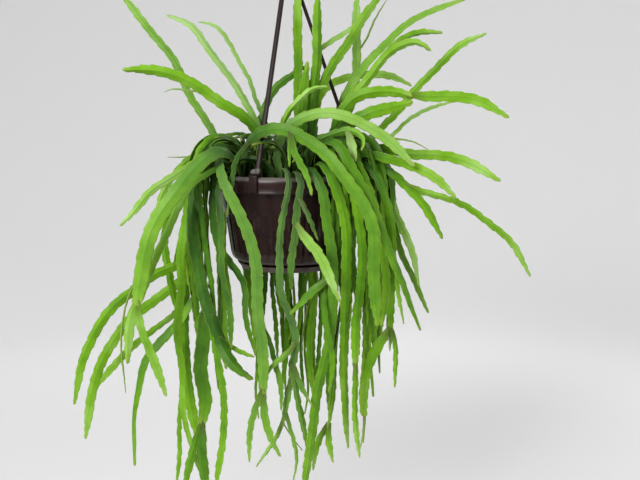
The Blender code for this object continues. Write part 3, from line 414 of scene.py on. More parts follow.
bm = turned(POT_PROFILE, POT_STEPS)
for corner in bm.verts:
    corner.co.xy *= 1.0 - flute_depth(corner) / max(corner.co.xy.length, MM)
round_edges(bm, 0.35 * MM, 40.0, 2)
finish_piece("pot_shell", bm, pot_plastic, ["pot"], 50.0)

# %% [markdown]
# The saucer clips under the pot and catches the drips. It is a shallow dish with a rounded lip.
# The three pegs that hold it pass through holes in the pot's base, out of sight; they are turned
# as well, and joined to the dish as separate shells.

# %% Saucer
SAUCER_PROFILE = [
    (0.0, -95.1), (46.8, -95.1), (48.4, -94.8), (49.3, -94.0), (51.2, -91.6), (52.8, -89.5),
    (53.0, -89.1), (52.5, -88.9), (51.7, -89.0), (51.0, -89.9), (48.2, -93.1), (47.2, -93.3),
    (0.0, -93.3),
]
PEG_CIRCLE = 18.0 * MM
PEG_PARTS = ((3.5, -93.6, -85.0), (4.8, -85.2, -84.0), (2.6, -84.2, -82.2))
bm = turned(SAUCER_PROFILE, 128)
for number in range(3):
    foot = RIM + Vector(at_turn(120.0 * number, PEG_CIRCLE, 0.0))
    for radius, low, high in PEG_PARTS:
        made = bmesh.ops.create_cone(bm, cap_ends=True, segments=24, radius1=radius * MM,
                                     radius2=radius * MM, depth=(high - low) * MM)
        bmesh.ops.translate(bm, verts=made["verts"],
                            vec=foot + Vector((0.0, 0.0, (low + high) / 2.0 * MM)))
finish_piece("saucer_dish", bm, saucer_plastic, ["saucer"], 40.0)

# %% [markdown]
# Potting soil is a dark mix of peat and bark. Its surface is a fine grid pushed up and down by
# noise, closed below into a block that fills the pot. Loose crumbs of bark lie on top, each one a
# small ball squashed and turned at random. The random numbers are seeded, so the soil is the same
# on every run.


# %% Soil
def soil_look():
    """Dark peat with paler grains."""
    made, wire, place, connect = new_look("potting_soil", Specular_IOR_Level=0.2)
    lumps = noise(wire, place, 260.0, 5.0, 0.7)
    grains = noise(wire, place, 1400.0, 3.0, 0.6)
    colour = blend(step(lumps, 0.35, 0.7), (0.010, 0.006, 0.004), (0.060, 0.036, 0.020))
    colour = blend(step(grains, 0.68, 0.76) * 0.5, colour, (0.16, 0.12, 0.08))
    connect(colour, lumps * 0.2 + 0.75, lumps * 0.6 + grains * 0.4, 1.2 * MM, 0.9)
    return made


SOIL_TOP = -10.0
CRUMBS, CRUMB_REACH = 420, 66.0
chance = random.Random(7)
soil_profile = [(0.0, -81.0), (53.5, -81.0), (56.4, -78.0), (61.8, -40.0), (63.4, -35.5),
                (66.9, -16.0), (68.2, -11.0)]
soil_profile += [(68.2 - 2.0 * ring, SOIL_TOP) for ring in range(1, 34)] + [(0.0, SOIL_TOP)]
bm = turned(soil_profile, 120)
for corner in bm.verts:
    if corner.co.z > RIM.z - 10.5 * MM:
        x, y = corner.co.x / MM, corner.co.y / MM
        bumps = math.sin(x / 7.0 + 1.3) * math.cos(y / 9.0) + 0.6 * math.sin((x + y) / 3.1)
        corner.co.z += (0.45 * bumps + chance.uniform(-0.45, 0.45) - 0.5) * MM
for _ in range(CRUMBS):
    angle = chance.uniform(0.0, math.tau)
    reach = CRUMB_REACH * MM * math.sqrt(chance.random())
    made = bmesh.ops.create_icosphere(bm, subdivisions=1, radius=chance.uniform(0.7, 2.3) * MM)
    squash = [chance.uniform(0.5, 1.5), chance.uniform(0.5, 1.2), chance.uniform(0.35, 0.7)]
    bmesh.ops.scale(bm, verts=made["verts"], vec=squash)
    place = RIM + Vector((reach * math.cos(angle), reach * math.sin(angle), SOIL_TOP * MM))
    bmesh.ops.translate(bm, verts=made["verts"], vec=place)
finish_piece("soil_surface", bm, soil_look(), ["soil"])

# %% [markdown]
# The hanger has three rods. Each ends below in a clip that hooks over the rim, and above in a
# small ball that snaps into the hub. A clip is a bent strip: its outline is drawn once as a
# face, extruded to the clip's width, and its edges are rounded. The rod is a cylinder, flattened
# a little and thicker at both ends. An oval knob covers its foot, and the clip sits a little
# askew of the rod.

# %% Shape of a hanger rod
STRAND_TURNS = (9.5, 119.0, 249.5)
CLIP_OUTLINE = [
    (68.1, -5.0), (68.1, 1.3), (69.1, 2.1), (78.6, 2.1), (79.6, 1.1), (79.6, -14.0),
    (77.9, -14.0), (77.9, 0.3), (69.9, 0.3), (69.9, -5.0),
]
CLIP_HALF_WIDTH = 4.25
ROD_FOOT = Vector((75.0, 0.0, 3.9)) * MM
ROD_HEAD = Vector((3.6, 0.0, 200.1)) * MM
KNOB = Vector((76.0, 0.0, 4.4)) * MM
KNOB_SIZE, FOOT_SIZE, HEAD_SIZE = (3.0, 3.7, 3.5), (2.5, 2.7, 2.4), (2.6, 2.6, 2.6)
ROD_HALF_THICK, ROD_HALF_WIDE, ROD_SWELL, ROD_CUTS = 1.75, 2.35, 0.5, 39
CLIP_LAG = 2.2


def lay_between(bm, corners, start, end):
    """Turn a shape that stands on the z axis so that it runs from start to end."""
    turn = Vector((0.0, 0.0, 1.0)).rotation_difference(end - start).to_matrix()
    bmesh.ops.rotate(bm, verts=corners, matrix=turn)
    bmesh.ops.translate(bm, verts=corners, vec=start)


def rod_shell(bm):
    """The rod from clip to hub: a cylinder cut into rings, with each ring given its thickness."""
    length = (ROD_HEAD - ROD_FOOT).length
    made = bmesh.ops.create_cone(bm, cap_ends=True, segments=16, radius1=1.0, radius2=1.0,
                                 depth=length)
    bmesh.ops.translate(bm, verts=made["verts"], vec=(0.0, 0.0, length / 2.0))
    upright = [edge for edge in bm.edges
               if abs(edge.verts[0].co.z - edge.verts[1].co.z) > length / 2.0]
    bmesh.ops.subdivide_edges(bm, edges=upright, cuts=ROD_CUTS)
    for corner in bm.verts:
        along = corner.co.z / length
        swell = ROD_SWELL * (math.exp(-along * 60.0) + math.exp(-(1.0 - along) * 60.0))
        x, y = (math.copysign(abs(side) ** 0.7, side) for side in corner.co.xy)
        corner.co.x = x * (ROD_HALF_THICK + swell) * MM
        corner.co.y = y * (ROD_HALF_WIDE + swell) * MM
    lay_between(bm, bm.verts[:], ROD_FOOT, ROD_HEAD)


print("rod length:", round((ROD_HEAD - ROD_FOOT).length, 4))

# %% [markdown]
# One clip and one rod are put together on the x axis, and then turned to each of the three
# places round the rim. The places are not a third of a circle apart, because the clips have
# slipped along the rim.


# %% Hanger rods in place
def ball(bm, centre, size):
    """An oval ball; its size is half its length each way, in millimetres."""
    made = bmesh.ops.create_uvsphere(bm, u_segments=24, v_segments=16, radius=MM)
    bmesh.ops.scale(bm, verts=made["verts"], vec=size)
    bmesh.ops.translate(bm, verts=made["verts"], vec=centre)


def strand_shells(turn):
    """A clip, its rod and the rounded ends, turned to their place round the rim."""
    rod = bmesh.new()
    rod_shell(rod)
    clip = bmesh.new()
    outline = [clip.verts.new((reach * MM, -CLIP_HALF_WIDTH * MM, height * MM))
               for reach, height in CLIP_OUTLINE]
    grown = bmesh.ops.extrude_face_region(clip, geom=[clip.faces.new(outline)])["geom"]
    far_side = [item for item in grown if isinstance(item, bmesh.types.BMVert)]
    bmesh.ops.translate(clip, verts=far_side, vec=(0.0, 2.0 * CLIP_HALF_WIDTH * MM, 0.0))
    bmesh.ops.recalc_face_normals(clip, faces=clip.faces)
    round_edges(clip, 0.45 * MM, 40.0, 3)
    ball(clip, KNOB, KNOB_SIZE)
    lag = Matrix.Rotation(math.radians(-CLIP_LAG), 3, "Z")
    bmesh.ops.rotate(clip, verts=clip.verts, matrix=lag)
    ball(clip, ROD_FOOT, FOOT_SIZE)
    ball(clip, ROD_HEAD, HEAD_SIZE)
    take_in(clip, mesh_of("rod", rod))
    aim = Vector(at_turn(turn, 1.0, 0.0))
    spin = Vector((1.0, 0.0, 0.0)).rotation_difference(aim).to_matrix()
    bmesh.ops.rotate(clip, verts=clip.verts, matrix=spin)
    bmesh.ops.translate(clip, verts=clip.verts, vec=RIM)
    return clip


for number, turn in enumerate(STRAND_TURNS, start=1):
    finish_piece(f"hanger_rod_{number}", strand_shells(turn), hanger_plastic,
                 [f"hanger_strand_{number}"], 40.0)

# %% [markdown]
# The hub that gathers the rods is turned like a small bell, and the hook grows out of it: a long
# cylinder that is cut into rings and bent along a path. The same bending will make every stem
# later on, so it gets a helper. Each ring has a centre and two directions, one across and one
# through, that are carried along the path without twisting.


# %% Bending a long tube
def square_to(along, vector):
    """The unit vector nearest to a vector that stands square to the way along."""
    rest = vector - along * np.dot(vector, along)
    return rest / np.linalg.norm(rest)


def carried_frames(path, facing, anchor):
    """Unit vectors across and through a path, set at the anchor and carried along from there."""
    along = np.gradient(path, axis=0)
    along /= np.linalg.norm(along, axis=1)[:, None]
    start = int(anchor * (len(path) - 1))
    through = np.zeros_like(path)
    through[start] = square_to(along[start], np.array(facing))
    for step_way in (1, -1):
        at = start + step_way
        while 0 <= at < len(path):
            through[at] = square_to(along[at], through[at - step_way])
            at += step_way
    return np.cross(along, through), through


def long_tube(rings, around):
    """A closed straight tube of unit radius, with ring k at height k."""
    bm = bmesh.new()
    made = bmesh.ops.create_cone(bm, cap_ends=True, segments=around, radius1=1.0, radius2=1.0,
                                 depth=rings - 1.0)
    bmesh.ops.translate(bm, verts=made["verts"], vec=(0.0, 0.0, (rings - 1.0) / 2.0))
    upright = [edge for edge in bm.edges if abs(edge.verts[0].co.z - edge.verts[1].co.z) > 0.5]
    bmesh.ops.subdivide_edges(bm, edges=upright, cuts=rings - 2)
    return bm


print("bending helpers ready")

# %% [markdown]
# The hook is one wire: it rises from the hub and turns over in three quarters of a circle. Its
# path is worked out point by point, and the tube is bent along it.

# %% Hub and hook
HOOK_CENTRE, HOOK_RADIUS, HOOK_WIRE = 250.0, 12.0, 2.0
HOOK_STEPS, HOOK_START, HOOK_STEP = 46, 235.0, 5.6
hook_path = [(0.0, 0.0, 212.0), (-0.3, 0.0, 224.0)]
for number in range(HOOK_STEPS):
    angle = math.radians(HOOK_START - HOOK_STEP * number)
    hook_path.append((HOOK_RADIUS * math.cos(angle), 0.0,
                      HOOK_CENTRE + HOOK_RADIUS * math.sin(angle)))
hook_path = np.array(hook_path) * MM
across, through = carried_frames(hook_path, (0.0, 1.0, 0.0), 0.0)
hook = long_tube(len(hook_path), 16)
for corner in hook.verts:
    ring = round(corner.co.z)
    x, y = corner.co.x, corner.co.y
    at = hook_path[ring] + (across[ring] * x + through[ring] * y) * HOOK_WIRE * MM
    corner.co = RIM + Vector(at)

HUB_PROFILE = [
    (0.0, 203.0), (5.6, 203.0), (6.8, 203.6), (7.2, 204.6), (7.2, 206.6), (6.6, 207.8),
    (4.6, 209.6), (3.5, 212.0), (2.7, 217.0), (2.2, 217.4), (0.0, 217.4),
]
bm = turned(HUB_PROFILE, 64)
take_in(bm, mesh_of("wire", hook))
finish_piece("hanger_hub_and_hook", bm, hanger_plastic, ["hanger_hook"], 50.0)

# %% [markdown]
# Now the plant. This cactus has no leaves: its flat green stems do their work. Each stem is a
# strap with a midrib and shallow scallops along both edges, and in every notch between two
# scallops sits an areole, the tiny cushion from which spines or flowers would grow. New shoots
# grow from such notches, mostly near the end of a stem.
#
# The table below gives the route of every stem in centimetres from the centre of the rim, x to
# the right, y to the back and z up, rounded to half a centimetre. A stem is a list of segments:
# its width, the segment that it grows from, how far along that one it starts, and its way points.
# It is the table that the solids were built from, so each strap follows its own solid.

# %% Routes of the stems
ROOT = SOIL_TOP * 0.1 + 0.03
STEMS = {
    "stem_upright_1": [
        (0.9, None, 0, [(0.6, 0.6, ROOT), (1, 0.5, 4), (1, 0.5, 8), (1, 0.5, 12.5), (1, 0, 15.5),
            (1, 0, 18.5)]),
    ],
    "stem_upright_2": [
        (0.9, None, 0, [(1.8, -1, ROOT), (2, -1, 4), (2.5, -1, 7.5), (3, -1.5, 11),
            (3, -1.5, 13.5), (3, -1, 18)]),
        (0.6, 0, 0.7, [(4, 0.5, 13), (5.5, 1, 14), (7.5, 2.5, 15.5)]),
    ],
    "stem_upright_3": [
        (1, None, 0, [(0.4, -2.2, ROOT), (1.5, -2, 4.5), (1.5, -2, 7), (2, -2, 11)]),
    ],
    "stem_upright_4": [
        (0.9, None, 0, [(2.8, -0.4, ROOT), (2.5, -0.5, 5.5), (3, -1, 8), (4.5, -1, 11),
            (6, -0.5, 13), (7.5, 0, 15.5), (9.5, 1, 18)]),
    ],
    "stem_upright_5": [
        (0.8, None, 0, [(4, 2.8, ROOT), (5, 3, 4), (6.5, 3, 7), (7, 3, 10), (7, 3.5, 13.5),
            (7, 3.5, 18.5)]),
        (0.3, 0, 0.7, [(8, 3, 13.5), (8.5, 2.5, 15), (10, 2, 17.5)]),
    ],
    "stem_upright_6": [
        (0.7, None, 0, [(-2.4, 0.6, ROOT), (-3, 0.5, 4.5), (-2.5, 1, 6.5), (-1.5, 1, 8.5),
            (0.5, 1.5, 10), (2, 2, 11)]),
    ],
    "stem_upright_7": [
        (0.8, None, 0, [(2.2, 3.6, ROOT), (2.5, 4, 6), (3.5, 4, 8.5), (5, 4, 9.5), (7, 4.5, 10),
            (11, 5, 10), (13, 5, 9)]),
    ],
    "stem_upright_8": [
        (0.6, None, 0, [(-0.8, -3.4, ROOT), (-0.5, -3.5, 4.5), (0, -3.5, 6), (1.5, -3.5, 7.5),
            (2.5, -3, 8.5), (4, -3, 8.5)]),
    ],
    "stem_right_1": [
        (0.85, None, 0, [(4.8, 0.8, ROOT), (5, 1, 5), (6.5, 1, 9), (8, 1, 11), (9.5, 1.5, 12.5),
            (11.5, 1.5, 14.5), (14, 2, 16), (18, 2, 17.5)]),
    ],
    "stem_right_2": [
        (0.7, None, 0, [(5.2, -0.6, ROOT), (5.5, -0.5, 6.5), (7.5, -0.5, 9), (9.5, 0, 11.5),
            (11.5, 0, 13.5), (13, 0, 14), (15.5, 0.5, 14)]),
    ],
    "stem_right_3": [
        (0.85, None, 0, [(5.4, -1.8, ROOT), (6.5, -1.5, 7.5), (8.5, -1.5, 10), (9.5, -1.5, 11.5),
            (11, -2, 12.5), (12.5, -2, 13), (14, -2, 12)]),
    ],
    "stem_right_4": [
        (1.05, None, 0, [(4.4, -3, ROOT), (5, -3, 5.5), (6.5, -3.5, 7.5), (8.5, -4, 8),
            (10.5, -4, 8), (12, -4.5, 7.5)]),
        (1, 0, 1, [(13.5, -4.5, 7.5), (16, -5, 7.5), (18.5, -5, 7), (20, -5.5, 6),
            (21, -5.5, 5.5)]),
    ],
    "stem_right_5": [
        (1.15, None, 0, [(3.4, -3.8, ROOT), (4.5, -4, 3.5), (6, -4.5, 5), (8, -5, 6),
            (10, -5, 6.5), (12, -5, 7)]),
    ],
    "stem_right_6": [
        (0.7, None, 0, [(5.4, 2.2, ROOT), (8, 2.5, 3), (9.5, 2.5, 4.5), (11.5, 2, 6.5),
            (13, 2, 8.5), (15, 1.5, 10.5), (17.5, 1, 13), (20, 1, 14)]),
        (0.4, 0, 0.3, [(10.5, 3, 3.5), (12, 4, 5), (14.5, 5, 6.5), (18, 6, 7.5)]),
    ],
    "stem_right_7": [
        (1, None, 0, [(-0.6, -4.6, ROOT), (-1, -5, 2.5), (0, -5, 4.5), (1.5, -5.5, 5.5),
            (4, -6, 6), (6, -6, 5.5), (8, -6.5, 4.5), (9.5, -6.5, 3.5), (12, -7, 1)]),
        (0.3, 0, 0.8, [(10.5, -6, 3.5), (11.5, -6, 3.5), (13.5, -5.5, 2.5)]),
    ],
    "stem_right_8": [
        (0.85, None, 0, [(4.4, -4.2, ROOT), (5.5, -5, 1.5), (6.5, -5, 2.5), (8.5, -5.5, 2),
            (10.5, -6, 1.5), (12, -6, 1), (14, -6.5, 0), (16, -6.5, -2)]),
    ],
    "stem_right_9": [
        (0.95, None, 0, [(5.8, 0.4, ROOT), (7.5, 0, 1.5), (8.5, -1, 2.5), (10, -2, 2.5),
            (12, -3, 2), (14.5, -3.5, 2), (17, -4, 1.5), (20.5, -5, -0.5)]),
    ],
    "stem_right_10": [
        (1, None, 0, [(6, -1.8, ROOT), (7, -3, 1), (8.5, -4, 1), (10, -5, 0.5), (11.5, -5, -1),
            (13, -5.5, -2.5), (15, -5.5, -6)]),
        (0.7, 0, 0.55, [(13, -5, -1.5), (15, -5, -2), (17.5, -4.5, -3), (19.5, -4.5, -4.5),
            (22, -4, -6.5), (24, -4, -10)]),
    ],
    "stem_right_11": [
        (0.85, None, 0, [(6, -0.4, ROOT), (8, -1, 1.5), (9, -2, 0.5), (10, -3, -1),
            (10.5, -3.5, -3.5), (11.5, -4, -5.5), (12.5, -4, -8), (13, -4, -11)]),
    ],
    "stem_right_12": [
        (0.8, None, 0, [(5.8, 1.4, ROOT), (8, 1.5, 1.5), (9.5, 1, 0), (10.5, 0.5, -3),
            (11, 0, -6), (12, 0, -9), (13, -0.5, -11), (14.5, -0.5, -14.5)]),
    ],
    "stem_right_13": [
        (0.75, None, 0, [(5.4, -3, ROOT), (7, -5, 1.5), (8.5, -6.5, 0), (9.5, -7, -2.5),
            (10, -7, -5.5), (10, -7, -9), (10, -6.5, -12), (10, -6.5, -15)]),
        (0.6, 0, 1, [(10.5, -6.5, -16), (10.5, -6.5, -17.5), (10.5, -6.5, -20.5)]),
        (1, 0, 1, [(9, -6.5, -16), (8, -6.5, -18), (7.5, -6.5, -20.5), (7.5, -6.5, -23.5)]),
        (0.4, 0, 1, [(10, -6, -16), (10, -6, -17)]),
        (0.35, 2, 0.95, [(7.5, -6.5, -25), (7, -6.5, -27.5)]),
    ],
    "stem_front_1": [
        (1.1, None, 0, [(-4.4, -3.8, ROOT), (-4, -4.5, 2), (-3, -5.5, 3.5), (-0.5, -7, 4.5),
            (2, -8, 3.5), (4, -9, 2), (5.5, -10, 0), (7, -10.5, -2), (8, -11, -4.5),
            (8, -10.5, -7.5), (8.5, -10, -13.5)]),
        (0.6, 0, 0.3, [(1, -8.5, 2), (2, -9, 0.5), (2.5, -9.5, -1.5)]),
        (0.4, 0, 0.3, [(0.5, -8, 2.5), (0.5, -8.5, 1)]),
        (0.45, 0, 0.15, [(-4.5, -6.5, 2), (-5, -8.5, 0), (-5.5, -9, -3.5)]),
    ],
    "stem_front_2": [
        (0.65, None, 0, [(1.8, -4, ROOT), (2, -5, 2.5), (3, -5.5, 3.5), (4.5, -6, 4),
            (6, -6.5, 4.5), (7, -7, 4), (7.5, -7, 3.5), (7, -7.5, 2.5)]),
        (0.85, 0, 0.7, [(6, -7, 3.5), (6.5, -7.5, 1.5)]),
    ],
    "stem_front_3": [
        (0.95, None, 0, [(2.8, -4.8, ROOT), (3, -6, 2.5), (4, -7.5, 3.5), (5, -8.5, 3),
            (6, -9, 1), (7.5, -9.5, -1.5), (8.5, -10, -4), (9.5, -10, -6.5), (10.5, -10, -9),
            (12.5, -9.5, -14)]),
        (0.4, 0, 0.75, [(10.5, -9, -11), (11, -9, -13.5)]),
    ],
    "stem_front_4": [
        (0.75, None, 0, [(4, -5, ROOT), (5, -6, 2.5), (6.5, -7, 1.5), (7.5, -8, -0.5),
            (8.5, -8, -3.5), (9, -8, -6.5), (9.5, -8, -10.5), (9, -8, -14)]),
    ],
    "stem_front_5": [
        (1.15, None, 0, [(2.8, -5.6, ROOT), (3, -7.5, 1.5), (4, -9, 0), (5, -9, -2.5),
            (5.5, -9, -5), (5.5, -9, -8.5), (5.5, -8, -13.5), (5.5, -8, -18.5), (6, -7, -26.5)]),
    ],
    "stem_front_6": [
        (1, None, 0, [(4.8, -4, ROOT), (5, -6.5, 2), (6, -8, 0), (6.5, -8.5, -2.5),
            (7, -9, -5.5), (7, -8.5, -9.5), (6.5, -8.5, -13.5), (6.5, -8, -18)]),
        (0.7, 0, 1, [(6.5, -8, -19.5), (6.5, -8, -23), (7, -8, -27)]),
    ],
    "stem_front_7": [
        (1.05, None, 0, [(1.6, -5.8, ROOT), (2.5, -8, 1), (3.5, -9, -0.5), (4, -9, -4),
            (4.5, -9, -7.5), (4.5, -8.5, -11.5), (4, -8.5, -16), (3, -8, -20), (2.5, -8, -24),
            (1.5, -7.5, -31)]),
        (0.85, 0, 0.4, [(3, -9, -10), (2, -9, -11), (0.5, -9.5, -12.5)]),
        (0.8, 0, 0.45, [(4.5, -7.5, -16.5), (4.5, -7, -20.5), (4, -7, -24.5)]),
        (0.7, 2, 0.95, [(4, -7, -25.5), (4.5, -7, -28)]),
        (0.7, 2, 0.95, [(3, -6.5, -26), (2.5, -6.5, -29)]),
    ],
    "stem_front_8": [
        (0.95, None, 0, [(-0.4, -5.8, ROOT), (0, -7.5, 1), (0.5, -9, -0.5), (0, -9, -2.5),
            (-0.5, -9, -6), (-0.5, -9, -8.5), (-0.5, -9, -10.5), (0.5, -8.5, -13),
            (1, -8.5, -15.5), (0.5, -8, -18), (0.5, -8, -20)]),
        (0.85, 0, 0.95, [(0, -8, -21.5), (-0.5, -8, -24)]),
        (0.75, 0, 0.9, [(1, -8, -21), (1.5, -7.5, -23.5), (2, -7.5, -26.5)]),
        (0.55, 1, 1, [(-1, -8, -25), (-2, -8, -26.5), (-3, -8, -28)]),
        (0.3, 1, 1, [(0.5, -8, -25), (1.5, -7.5, -26.5)]),
        (0.5, 1, 0.7, [(0.5, -8.5, -24.5), (1, -8.5, -27), (0.5, -8.5, -29.5)]),
        (0.65, 0, 0.9, [(1.5, -8.5, -20), (2.5, -9, -21.5)]),
        (0.7, 0, 0.8, [(0, -9, -16.5), (-1, -9, -17), (-2, -9, -18.5)]),
    ],
    "stem_front_9": [
        (0.8, None, 0, [(0.8, -5.8, ROOT), (1, -8, 0.5), (1.5, -9, -0.5), (1, -9, -2.5),
            (1, -9, -4.5), (0.5, -8.5, -7.5), (0.5, -8, -10.5)]),
        (1.05, 0, 0.55, [(2, -10, -5.5), (3, -10.5, -6.5), (4, -11, -8.5), (5, -11, -11)]),
        (0.5, 0, 0.4, [(2, -10, -3), (3, -10, -5.5)]),
    ],
    "stem_front_10": [
        (1.2, None, 0, [(-4.8, -2.8, ROOT), (-6, -4, 1), (-6.5, -5, 2), (-6, -7, 1),
            (-5, -9, -1), (-4, -9.5, -3), (-3, -10, -5.5), (-2.5, -10, -8.5), (-2.5, -10, -12),
            (-2, -9.5, -16), (-2, -9.5, -20)]),
        (0.65, 0, 1, [(-3, -9.5, -22), (-3.5, -9, -24.5), (-3.5, -9, -27)]),
        (0.8, 0, 1, [(-2, -9.5, -22), (-1.5, -10, -24), (-0.5, -10, -26)]),
        (0.6, 0, 0.75, [(-1.5, -9, -15), (-1, -9, -17.5), (-0.5, -9, -19.5), (-0.5, -9, -22)]),
    ],
    "stem_left_1": [
        (0.8, None, 0, [(-3.8, 1.6, ROOT), (-6, 2, 1), (-7, 2, 2.5), (-8.5, 2.5, 5),
            (-10.5, 3, 8), (-12, 3.5, 11.5), (-14.5, 4, 14.5), (-18, 5, 19)]),
    ],
    "stem_left_2": [
        (1, None, 0, [(-3, -1.8, ROOT), (-2.5, -2, 3), (-4, -2.5, 5.5), (-6.5, -3, 7),
            (-8.5, -3.5, 8.5), (-10.5, -4, 9.5), (-12.5, -4, 10), (-15.5, -4.5, 10)]),
        (0.3, 0, 0.6, [(-9.5, -3, 8), (-11, -3, 8.5), (-12, -2.5, 8)]),
    ],
    "stem_left_3": [
        (0.7, None, 0, [(-3, -0.2, ROOT), (-3, 0, 4.5), (-4, 0.5, 6.5), (-5.5, 1, 9),
            (-7, 1, 11), (-8.5, 1.5, 13), (-10, 2, 15), (-12.5, 2.5, 16)]),
    ],
    "stem_left_4": [
        (0.42, None, 0, [(-2, 1.8, ROOT), (-2.5, 2, 5.5), (-3.5, 2, 7.5), (-4, 2, 9.5),
            (-5, 2.5, 11), (-6, 3, 13), (-7.5, 3, 15), (-9.5, 4, 15.5)]),
    ],
    "stem_left_5": [
        (0.7, None, 0, [(-5.6, 2.2, ROOT), (-7, 2.5, 1), (-9, 3, 2), (-10.5, 3, 1.5),
            (-12, 3.5, 0), (-13.5, 3.5, -2), (-14.5, 3.5, -5.5)]),
        (0.25, 0, 0.4, [(-11, 3.5, 1.5), (-13, 3.5, 1.5)]),
    ],
    "stem_left_6": [
        (0.8, None, 0, [(-5.2, 3.4, ROOT), (-8.5, 4.5, 1), (-10.5, 5, 0.5), (-12.5, 5.5, -2),
            (-13.5, 5.5, -5), (-14, 5.5, -8), (-13.5, 5, -11), (-12.5, 5, -16.5)]),
    ],
    "stem_left_7": [
        (0.7, None, 0, [(-5.8, -0.4, ROOT), (-6, -2, 1.5), (-8, -3.5, 1.5), (-10, -4.5, 0.5),
            (-11.5, -5.5, -0.5), (-13, -6.5, -1.5), (-14, -7, -3), (-15.5, -7.5, -4.5)]),
    ],
    "stem_left_8": [
        (1.35, None, 0, [(-4.8, -4.6, ROOT), (-5.5, -5.5, 1.5), (-6.5, -6, 2), (-7.5, -7, 1.5),
            (-9, -8, 0), (-10, -9, -1.5), (-11.5, -9.5, -3.5), (-12.5, -10, -6),
            (-13, -10, -8.5), (-13.5, -10.5, -11.5)]),
        (0.9, 0, 1, [(-13, -10.5, -14), (-12, -10.5, -16.5), (-11, -10.5, -20)]),
        (0.3, 0, 0.85, [(-14, -10, -10), (-15, -10, -13.5), (-15, -9.5, -20)]),
    ],
    "stem_left_9": [
        (1, None, 0, [(-5.9, -2.4, ROOT), (-6, -4.5, 1.5), (-7.5, -6, 0.5), (-9, -7, -0.5),
            (-10, -7.5, -2.5), (-11, -8, -5), (-12, -8.5, -7), (-13, -8.5, -9.5),
            (-14.5, -8.5, -13), (-15, -8.5, -17.5)]),
    ],
    "stem_left_10": [
        (1, None, 0, [(-6.2, 0.6, ROOT), (-8, 1, 1), (-9.5, 1.5, -0.5), (-10.5, 2, -3),
            (-10.5, 2, -6.5), (-10.5, 2, -10), (-10, 2, -14)]),
        (0.75, 0, 0.7, [(-11.5, 1.5, -9.5), (-14, 0.5, -10.5), (-16, -0.5, -12),
            (-18, -1.5, -13.5), (-19.5, -2, -15.5), (-20.5, -2.5, -17.5), (-21.5, -2.5, -20),
            (-22, -3, -23.5)]),
        (0.9, 0, 0.95, [(-12, 1.5, -16), (-14, 1, -18), (-15.5, 0.5, -20), (-16, 0, -22),
            (-16.5, -0.5, -25), (-16.5, -1, -31)]),
        (0.45, 0, 0.5, [(-10.5, 1, -6), (-11.5, 0.5, -7.5), (-12, 0, -9.5)]),
    ],
    "stem_left_11": [
        (0.85, None, 0, [(-6.2, -0.8, ROOT), (-7.5, -1, 1), (-9, -2, 0), (-9.5, -3, -2),
            (-10, -3.5, -4.5), (-10.5, -4, -7.5), (-10.5, -4, -11.5), (-11, -4.5, -15.5),
            (-10.5, -4.5, -19), (-10.5, -5, -22.5), (-10, -5, -26), (-8, -5.5, -31.5)]),
        (0.45, 0, 0.7, [(-11, -4.5, -25), (-11, -4.5, -27.5), (-11.5, -4.5, -32)]),
    ],
    "stem_left_12": [
        (1.15, None, 0, [(-6, -1.6, ROOT), (-7, -3, 0.5), (-8.5, -4, -0.5), (-9, -5, -3),
            (-9, -5.5, -5.5), (-8.5, -6, -8.5), (-8, -6.5, -11), (-7, -7, -13.5), (-6, -7, -16),
            (-4.5, -8, -18), (-3, -8, -19)]),
        (0.6, 0, 0.8, [(-5, -7, -16.5), (-3, -8, -17)]),
        (1.35, 0, 0.65, [(-8, -6, -15), (-8.5, -6, -19), (-8, -6, -22), (-8.5, -6, -24.5)]),
        (0.65, 0, 0.7, [(-6.5, -7.5, -17.5), (-6, -8, -20.5), (-6, -8, -23.5), (-7, -8, -30.5)]),
        (1.15, 2, 0.95, [(-8.5, -6.5, -26), (-8.5, -6.5, -28), (-8, -6.5, -31.5)]),
        (0.8, 2, 0.95, [(-9.5, -6, -27.5), (-10.5, -6, -31.5)]),
    ],
    "stem_left_13": [
        (0.75, None, 0, [(-5.6, -3.6, ROOT), (-6, -5.5, 0.5), (-6.5, -7, -1), (-6, -8, -3.5),
            (-6, -8, -6.5), (-6, -8, -9), (-5.5, -7.5, -11.5), (-5.5, -7, -16.5)]),
    ],
    "stem_left_14": [
        (0.75, None, 0, [(-6.2, -1.4, ROOT), (-7, -4, 1), (-7, -5.5, -1), (-7, -6, -4),
            (-6.5, -6.5, -6.5), (-5, -7, -8.5), (-4, -7, -10), (-4, -7.5, -12.5), (-3, -7.5, -17)]),
    ],
    "stem_back_1": [
        (0.9, None, 0, [(-4.6, 4.2, ROOT), (-8, 6.5, 1), (-9.5, 7.5, -0.5), (-11, 8, -4),
            (-11.5, 7, -9.5), (-12, 6.5, -14.5), (-12, 5.5, -20), (-11.5, 4.5, -25),
            (-10.5, 3.5, -30)]),
        (0.85, 0, 0.5, [(-12.5, 7, -12.5), (-14.5, 7, -14), (-16.5, 7, -15.5), (-18.5, 7, -17),
            (-20, 6.5, -19), (-21.5, 6, -21.5), (-22.5, 5.5, -24.5), (-23.5, 5, -30.5)]),
        (0.65, 0, 0.6, [(-13.5, 7.5, -16.5), (-16, 8.5, -18.5), (-18.5, 9, -20.5),
            (-20.5, 9.5, -22.5), (-23.5, 9.5, -26)]),
    ],
    "stem_back_2": [
        (0.65, None, 0, [(0.8, 5.6, ROOT), (0.5, 8, 1), (1.5, 9, -2), (1.5, 9, -7),
            (2, 8.5, -12), (2.5, 8, -15), (2, 8, -19), (2, 8, -22.5), (2.5, 7.5, -26.5)]),
        (0.3, 0, 0.6, [(1.5, 8, -17), (1, 8.5, -21.5)]),
    ],
    "stem_back_3": [
        (1, None, 0, [(4.6, 3.8, ROOT), (6.5, 5.5, 0.5), (7.5, 6.5, -1), (8.5, 7, -4.5),
